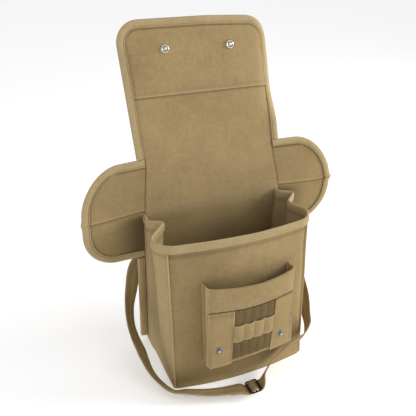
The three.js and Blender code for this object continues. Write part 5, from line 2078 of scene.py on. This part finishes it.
class RouteCurve:
    """A centripetal Catmull-Rom curve through points, measured along its length."""

    def __init__(self, points: Sequence[Vector], samples: int = 2000) -> None:
        """Keeps the points and measures the curve."""
        self.points = list(points)
        self.shares = np.linspace(0.0, 1.0, samples + 1)
        spots = np.array([tuple(self.at(float(t))) for t in self.shares])
        self.run = run_length(spots)
        self.length = float(self.run[-1])

    def at(self, t: float) -> Vector:
        """The point at share t of the curve's parameter."""
        last = len(self.points) - 1
        place = clamp(t) * last
        i = min(int(place), last - 1)
        weight = place - i
        p1, p2 = self.points[i], self.points[i + 1]
        p0 = self.points[i - 1] if i > 0 else p1 * 2 - p2
        p3 = self.points[i + 2] if i + 2 <= last else p2 * 2 - p1
        gaps = [(b - a).length ** 0.5 for a, b in ((p0, p1), (p1, p2), (p2, p3))]
        middle = gaps[1] if gaps[1] > 1e-4 else 1.0
        first = gaps[0] if gaps[0] > 1e-4 else middle
        final = gaps[2] if gaps[2] > 1e-4 else middle
        leave = ((p1 - p0) / first - (p2 - p0) / (first + middle) + (p2 - p1) / middle) * middle
        enter = ((p2 - p1) / middle - (p3 - p1) / (middle + final) + (p3 - p2) / final) * middle
        square = (p2 - p1) * 3 - leave * 2 - enter
        cube = (p1 - p2) * 2 + leave + enter
        return p1 + leave * weight + square * weight**2 + cube * weight**3

    def share_at(self, distance: float) -> float:
        """The curve's parameter at a distance along it."""
        return float(np.interp(distance, self.run, self.shares))

    def tangent(self, t: float) -> Vector:
        """The curve's direction at share t."""
        return (self.at(min(t + 1e-4, 1.0)) - self.at(max(t - 1e-4, 0.0))).normalized()


@dataclass
class ShoulderStrap:
    """The webbing strap, woven through its slide, with its doubled free end."""

    sheet: BackSheet
    finishes: Finishes
    stitching: Stitching
    width: float = 25 * MM
    wall: float = 1.7 * MM
    wire: float = 2.2 * MM
    slide_length: float = 18 * MM
    play: float = 0.9 * MM
    slide_place: float = 0.499
    tail_length: float = 26 * MM
    tail_shift: float = 2.2 * MM
    tail_gap: float = 0.6 * MM
    fade: float = 12 * MM

    def __post_init__(self) -> None:
        """Works out the strap's line and the slide's place on it."""
        scale = (self.sheet.half, self.sheet.depth, self.sheet.hinge)
        spots = [Vector([v * s for v, s in zip(row[:3], scale, strict=True)]) for row in STRAP_ROUTE]
        self.line = RouteCurve(spots)
        self.across = RouteCurve([Vector(row[3:]).normalized() for row in STRAP_ROUTE], 10)
        self.slide_at = self.slide_place * self.line.length
        share = self.line.share_at(self.slide_at)
        self.slide_spot = self.line.at(share)
        self.slide_run = self.line.tangent(share)
        self.slide_across = self.across.at(share)
        self.bar_spacing = (self.slide_length - self.wire) / 2
        self.weave_reach = self.wire / 2 + self.wall / 2 + 0.45 * MM

    def frame(self, distance: float) -> tuple[Vector, Vector, Vector, Vector]:
        """The strap's middle, direction, width and face at a distance along it."""
        t = self.line.share_at(distance)
        off = distance - self.slide_at
        reach = self.slide_length / 2
        pull = 1 - ease(abs(off), reach, reach + self.fade)
        place = self.line.at(t).lerp(self.slide_spot + self.slide_run * off, pull)
        tangent = self.line.tangent(t).lerp(self.slide_run, pull).normalized()
        width = self.across.at(t).lerp(self.slide_across, pull)
        width = (width - tangent * width.dot(tangent)).normalized()
        return place, tangent, width, tangent.cross(width)

    def weave(self, distance: float) -> float:
        """How far the strap stands off the slide's plane."""
        along = abs(distance - self.slide_at) / self.bar_spacing
        if along < 1:
            return self.weave_reach * math.cos(math.pi * along)
        return -self.weave_reach * ease(2 - along, 0, 1)

    def ring(self, distance: float, lift: float, shift: float, thin: float = 1.0) -> list[Vector]:
        """The webbing's section: flat faces between two rounded selvedges.

        Args:
            distance: the place along the strap.
            lift: the height off the strap's own line.
            shift: the shift across the strap.
            thin: the share of the full thickness.

        Returns:
            The ring's points in space.
        """
        place, _, width, face = self.frame(distance)
        half, thick = self.width / 2, self.wall / 2 * thin
        height = self.weave(distance) + lift
        cup = 0.35 * MM
        profile = [(s, 1.0) for s in spread(-0.94, 0.94, 10)]
        profile += [(0.985, 0.7), (1.0, 0.0), (0.985, -0.7)]
        profile += [(s, -1.0) for s in spread(0.94, -0.94, 10)]
        profile += [(-0.985, -0.7), (-1.0, 0.0), (-0.985, 0.7)]
        points = []
        for s, n in profile:
            edge = 1 + 0.16 * hump(abs(s), 0.93, 0.05)
            rise = height + n * thick * edge + cup * s * s
            points.append(place + width * (s * half + shift) + face * rise)
        return points

    def build(self) -> None:
        """Builds the strap, its free end, its end boxes of stitches and the slide."""
        fine = 2 * self.bar_spacing
        distances = spread(0.0, self.slide_at - fine, 138)[:-1]
        distances += spread(self.slide_at - fine, self.slide_at + fine, 44)
        distances += spread(self.slide_at + fine, self.line.length, 138)[1:]
        strap = swept("shoulder_strap_webbing", [self.ring(d, 0.0, 0.0) for d in distances])
        self.rub(strap)
        settle(strap, self.finishes.webbing, Slot.WEBBING, "shoulder_strap")
        start = self.slide_at - self.slide_length / 2 - self.tail_length
        lift = -self.wall - self.tail_gap
        ends = spread(start, start + self.tail_length, 22)
        tail = swept("strap_end_webbing", [self.ring(d, lift, self.tail_shift) for d in ends])
        self.rub(tail)
        settle(tail, self.finishes.webbing, Slot.WEBBING, "strap_tail")
        self.slide()
        self.sew_ends()

    @staticmethod
    def rub(piece: Piece) -> None:
        """Rubs the webbing's selvedges pale."""
        layer = piece.data.uv_layers[CLOTH_UV]
        reach = max(abs(spot.uv.x) for spot in layer.data)
        mark_wear_and_painted_shading(
            piece,
            lambda u, v: 0.55 * hump(abs(u), reach * 0.48, 1.6) + 0.5 * hump(abs(u), reach, 1.4) - 0.1,
        )

    def sew_ends(self) -> None:
        """A box of stitches on each end of the strap, where it is sewn to the back panel."""
        for side, start, step in ((Side.LEFT, 0.0, 1), (Side.RIGHT, self.line.length, -1)):
            inset, length = 3 * MM, 22 * MM
            half = self.width / 2 - inset
            corners = [(inset, -half), (inset, half), (length, half), (length, -half), (inset, -half)]
            path, normals = [], []
            for (d0, w0), (d1, w1) in zip(corners, corners[1:], strict=False):
                for share in spread(0, 1, 12):
                    distance = start + step * mix(d0, d1, share)
                    place, _, width, face = self.frame(distance)
                    out = -face if face.y < 0 else face
                    path.append(place + width * mix(w0, w1, share) + out * (self.wall / 2 + 0.05 * MM))
                    normals.append(out)
            self.stitching.sew(f"{side.word}_strap_box_stitches", path, normals)

    def slide(self) -> None:
        """The slide: a bent steel wire frame with a flattened middle bar."""
        half_across = self.width / 2 + self.play + self.wire / 2
        half_along = self.slide_length / 2 - self.wire / 2
        place, tangent, width, face = self.frame(self.slide_at)
        basis = Matrix((tangent, width, face)).transposed().to_4x4()
        move = Matrix.Translation(place) @ basis
        corner = 2.2 * MM
        outline = []
        for sx, sy, start in ((1, -1, -90), (1, 1, 0), (-1, 1, 90), (-1, -1, 180)):
            for angle in spread(start, start + 90, 5):
                turn = math.radians(angle)
                x = sx * (half_along - corner) + corner * math.cos(turn)
                y = sy * (half_across - corner) + corner * math.sin(turn)
                outline.append(Vector((x, y, 0.0)))
        outline = even_outline([*outline, outline[0]], 1.2 * MM)[:-1]
        rings = []
        for i, spot in enumerate(outline):
            along = (outline[(i + 1) % len(outline)] - outline[i - 1]).normalized()
            aside = Vector((along.y, -along.x, 0.0))
            ring = []
            for angle in spread(0, 2 * math.pi, 12)[:-1]:
                flat = aside * math.cos(angle) * self.wire * 0.62
                ring.append(spot + flat + Vector((0, 0, math.sin(angle) * self.wire * 0.56)))
            rings.append(ring)
        wire_rows = [[*ring, ring[0]] for ring in [*rings, rings[0]]]
        piece = cloth_grid("strap_slide_frame", wire_rows)
        close_tube(piece)
        bar = self.middle_bar(half_across)
        make_active(bar)
        piece.select_set(True)
        bpy.context.view_layer.objects.active = piece
        bpy.ops.object.join()
        piece.data.transform(move)
        piece.data.attributes.new(WEAR_AND_PAINTED_SHADING, "FLOAT", "POINT")
        shade_smooth(piece, 50.0)
        settle(piece, self.finishes.black_steel, Slot.SLIDE, "strap_slide")

    def middle_bar(self, half_across: float) -> Piece:
        """The slide's middle bar, a rod flattened a little where the webbing turns over it."""
        deselect_all()
        bpy.ops.mesh.primitive_cylinder_add(
            vertices=14, radius=self.wire * 0.46, depth=2 * half_across, rotation=(math.pi / 2, 0, 0)
        )
        bar = bpy.context.object
        bpy.ops.object.transform_apply(location=True, rotation=True, scale=True)
        bpy.ops.object.mode_set(mode="EDIT")
        bpy.ops.mesh.select_all(action="SELECT")
        bpy.ops.transform.resize(value=(1.12, 1.0, 0.9), center_override=(0, 0, 0))
        bpy.ops.object.mode_set(mode="OBJECT")
        return bar


# Stage


@dataclass
class Studio:
    """The pale floor, the soft lights and the camera at the photograph's angle."""

    eye: Spot = (-0.2897, -0.6245, 0.6241)
    azimuth: float = math.radians(22.6)
    elevation: float = math.radians(28.5)
    roll: float = math.radians(0.6)
    focal_pixels: float = 558.1
    sensor: float = 36.0
    board_side: float = 14.0
    board_colour: str = "f8f7f5"
    board_glow: float = 0.26
    room_colour: str = "fbfcff"
    room_strength: float = 0.72
    aim: Spot = (0.0, 0.0, 0.2)
    # Each soft box's name, place, side in metres and power in watts
    soft_boxes: tuple = (
        ("key_light", (1.5, -0.35, 0.75), 0.55, 19.0),
        ("front_light", (0.7, -1.0, 1.3), 0.9, 2.5),
        ("side_light", (-1.5, -0.7, 0.6), 1.0, 3.5),
    )

    def build(self) -> None:
        """Builds the stage."""
        self.camera()
        self.floor()
        self.lights()

    def camera(self) -> None:
        """The camera, level apart from its small roll."""
        data = bpy.data.cameras.new("photo_camera")
        data.sensor_width = self.sensor
        data.lens = self.focal_pixels / PICTURE_SIDE * self.sensor
        data.clip_end = 50
        camera = put_in_scene("photo_camera", data)
        az, el, roll = self.azimuth, self.elevation, self.roll
        right = Vector((math.cos(az), -math.sin(az), 0.0))
        ahead = Vector((math.sin(az) * math.cos(el), math.cos(az) * math.cos(el), -math.sin(el)))
        up = right.cross(ahead)
        across = right * math.cos(roll) + up * math.sin(roll)
        above = up * math.cos(roll) - right * math.sin(roll)
        turn = Matrix((across, above, -ahead)).transposed().to_4x4()
        camera.matrix_world = Matrix.Translation(Vector(self.eye)) @ turn
        bpy.context.scene.camera = camera

    def floor(self) -> None:
        """A wide floor of pale matt board, lit a little from below like a light table."""
        deselect_all()
        bpy.ops.mesh.primitive_plane_add(size=self.board_side)
        floor = bpy.context.object
        floor.name = floor.data.name = "studio_floor"
        material, tree = new_material("matt_white_board")
        shader = add_node(
            tree,
            "ShaderNodeBsdfPrincipled",
            {
                "Base Color": linear(self.board_colour),
                "Roughness": 0.9,
                "Specular IOR Level": 0.1,
                "Emission Color": linear("ffffff"),
                "Emission Strength": self.board_glow,
            },
        )
        add_node(tree, "ShaderNodeOutputMaterial", links={"Surface": shader.outputs["BSDF"]})
        floor.data.materials.append(material)
        floor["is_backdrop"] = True

    def lights(self) -> None:
        """A bright even room, a soft key from the upper right and a weak one from the left."""
        scene = bpy.context.scene
        scene.view_settings.view_transform = "Standard"
        world = bpy.data.worlds.new("studio_room")
        scene.world = world
        world.use_nodes = True
        background = world.node_tree.nodes["Background"]
        background.inputs["Color"].default_value = linear(self.room_colour)
        background.inputs["Strength"].default_value = self.room_strength
        for name, place, size, power in self.soft_boxes:
            self.soft_box(name, place, size, power)

    def soft_box(
        self, name: str, place: Spot, size: float, power: float
    ) -> None:
        """A square light that faces the middle of the case.

        Args:
            name: the light's name.
            place: its middle.
            size: its side.
            power: its power in watts.
        """
        data = bpy.data.lights.new(name, "AREA")
        data.size = size
        data.energy = power
        light = put_in_scene(name, data)
        ahead = Vector(self.aim) - Vector(place)
        turn = ahead.to_track_quat("-Z", "Y").to_matrix().to_4x4()
        light.matrix_world = Matrix.Translation(Vector(place)) @ turn


def write_sizes(before: tuple[Vector, Vector], after: tuple[Vector, Vector]) -> None:
    boxes = {"cad": before, "visual": after}
    plain = {name: [list(corner) for corner in box] for name, box in boxes.items()}


def main() -> None:
    """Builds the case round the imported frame."""
    cad_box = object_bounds()
    Studio().build()
    finishes = Finishes.build()
    stitching = Stitching(finishes.thread)
    sheet = BackSheet()
    wall = BodyWall(sheet)
    Flap(sheet, finishes, stitching).build()
    shared = {"sheet": sheet, "finishes": finishes, "stitching": stitching}
    Wing(Side.LEFT, 91 * MM, 54 * MM, 62 * MM, 52 * MM, 4 * MM, **shared).build()
    Wing(Side.RIGHT, 95 * MM, 56 * MM, 66 * MM, 52 * MM, 2 * MM, peak=3 * MM, **shared).build()
    Body(wall, finishes, stitching).build()
    pocket = FrontPocket(wall, finishes, stitching)
    pocket.build()
    Snaps(sheet, pocket, finishes).build()
    ShoulderStrap(sheet, finishes, stitching).build()
    write_sizes(cad_box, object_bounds())


if __name__ == "__main__":
    main()
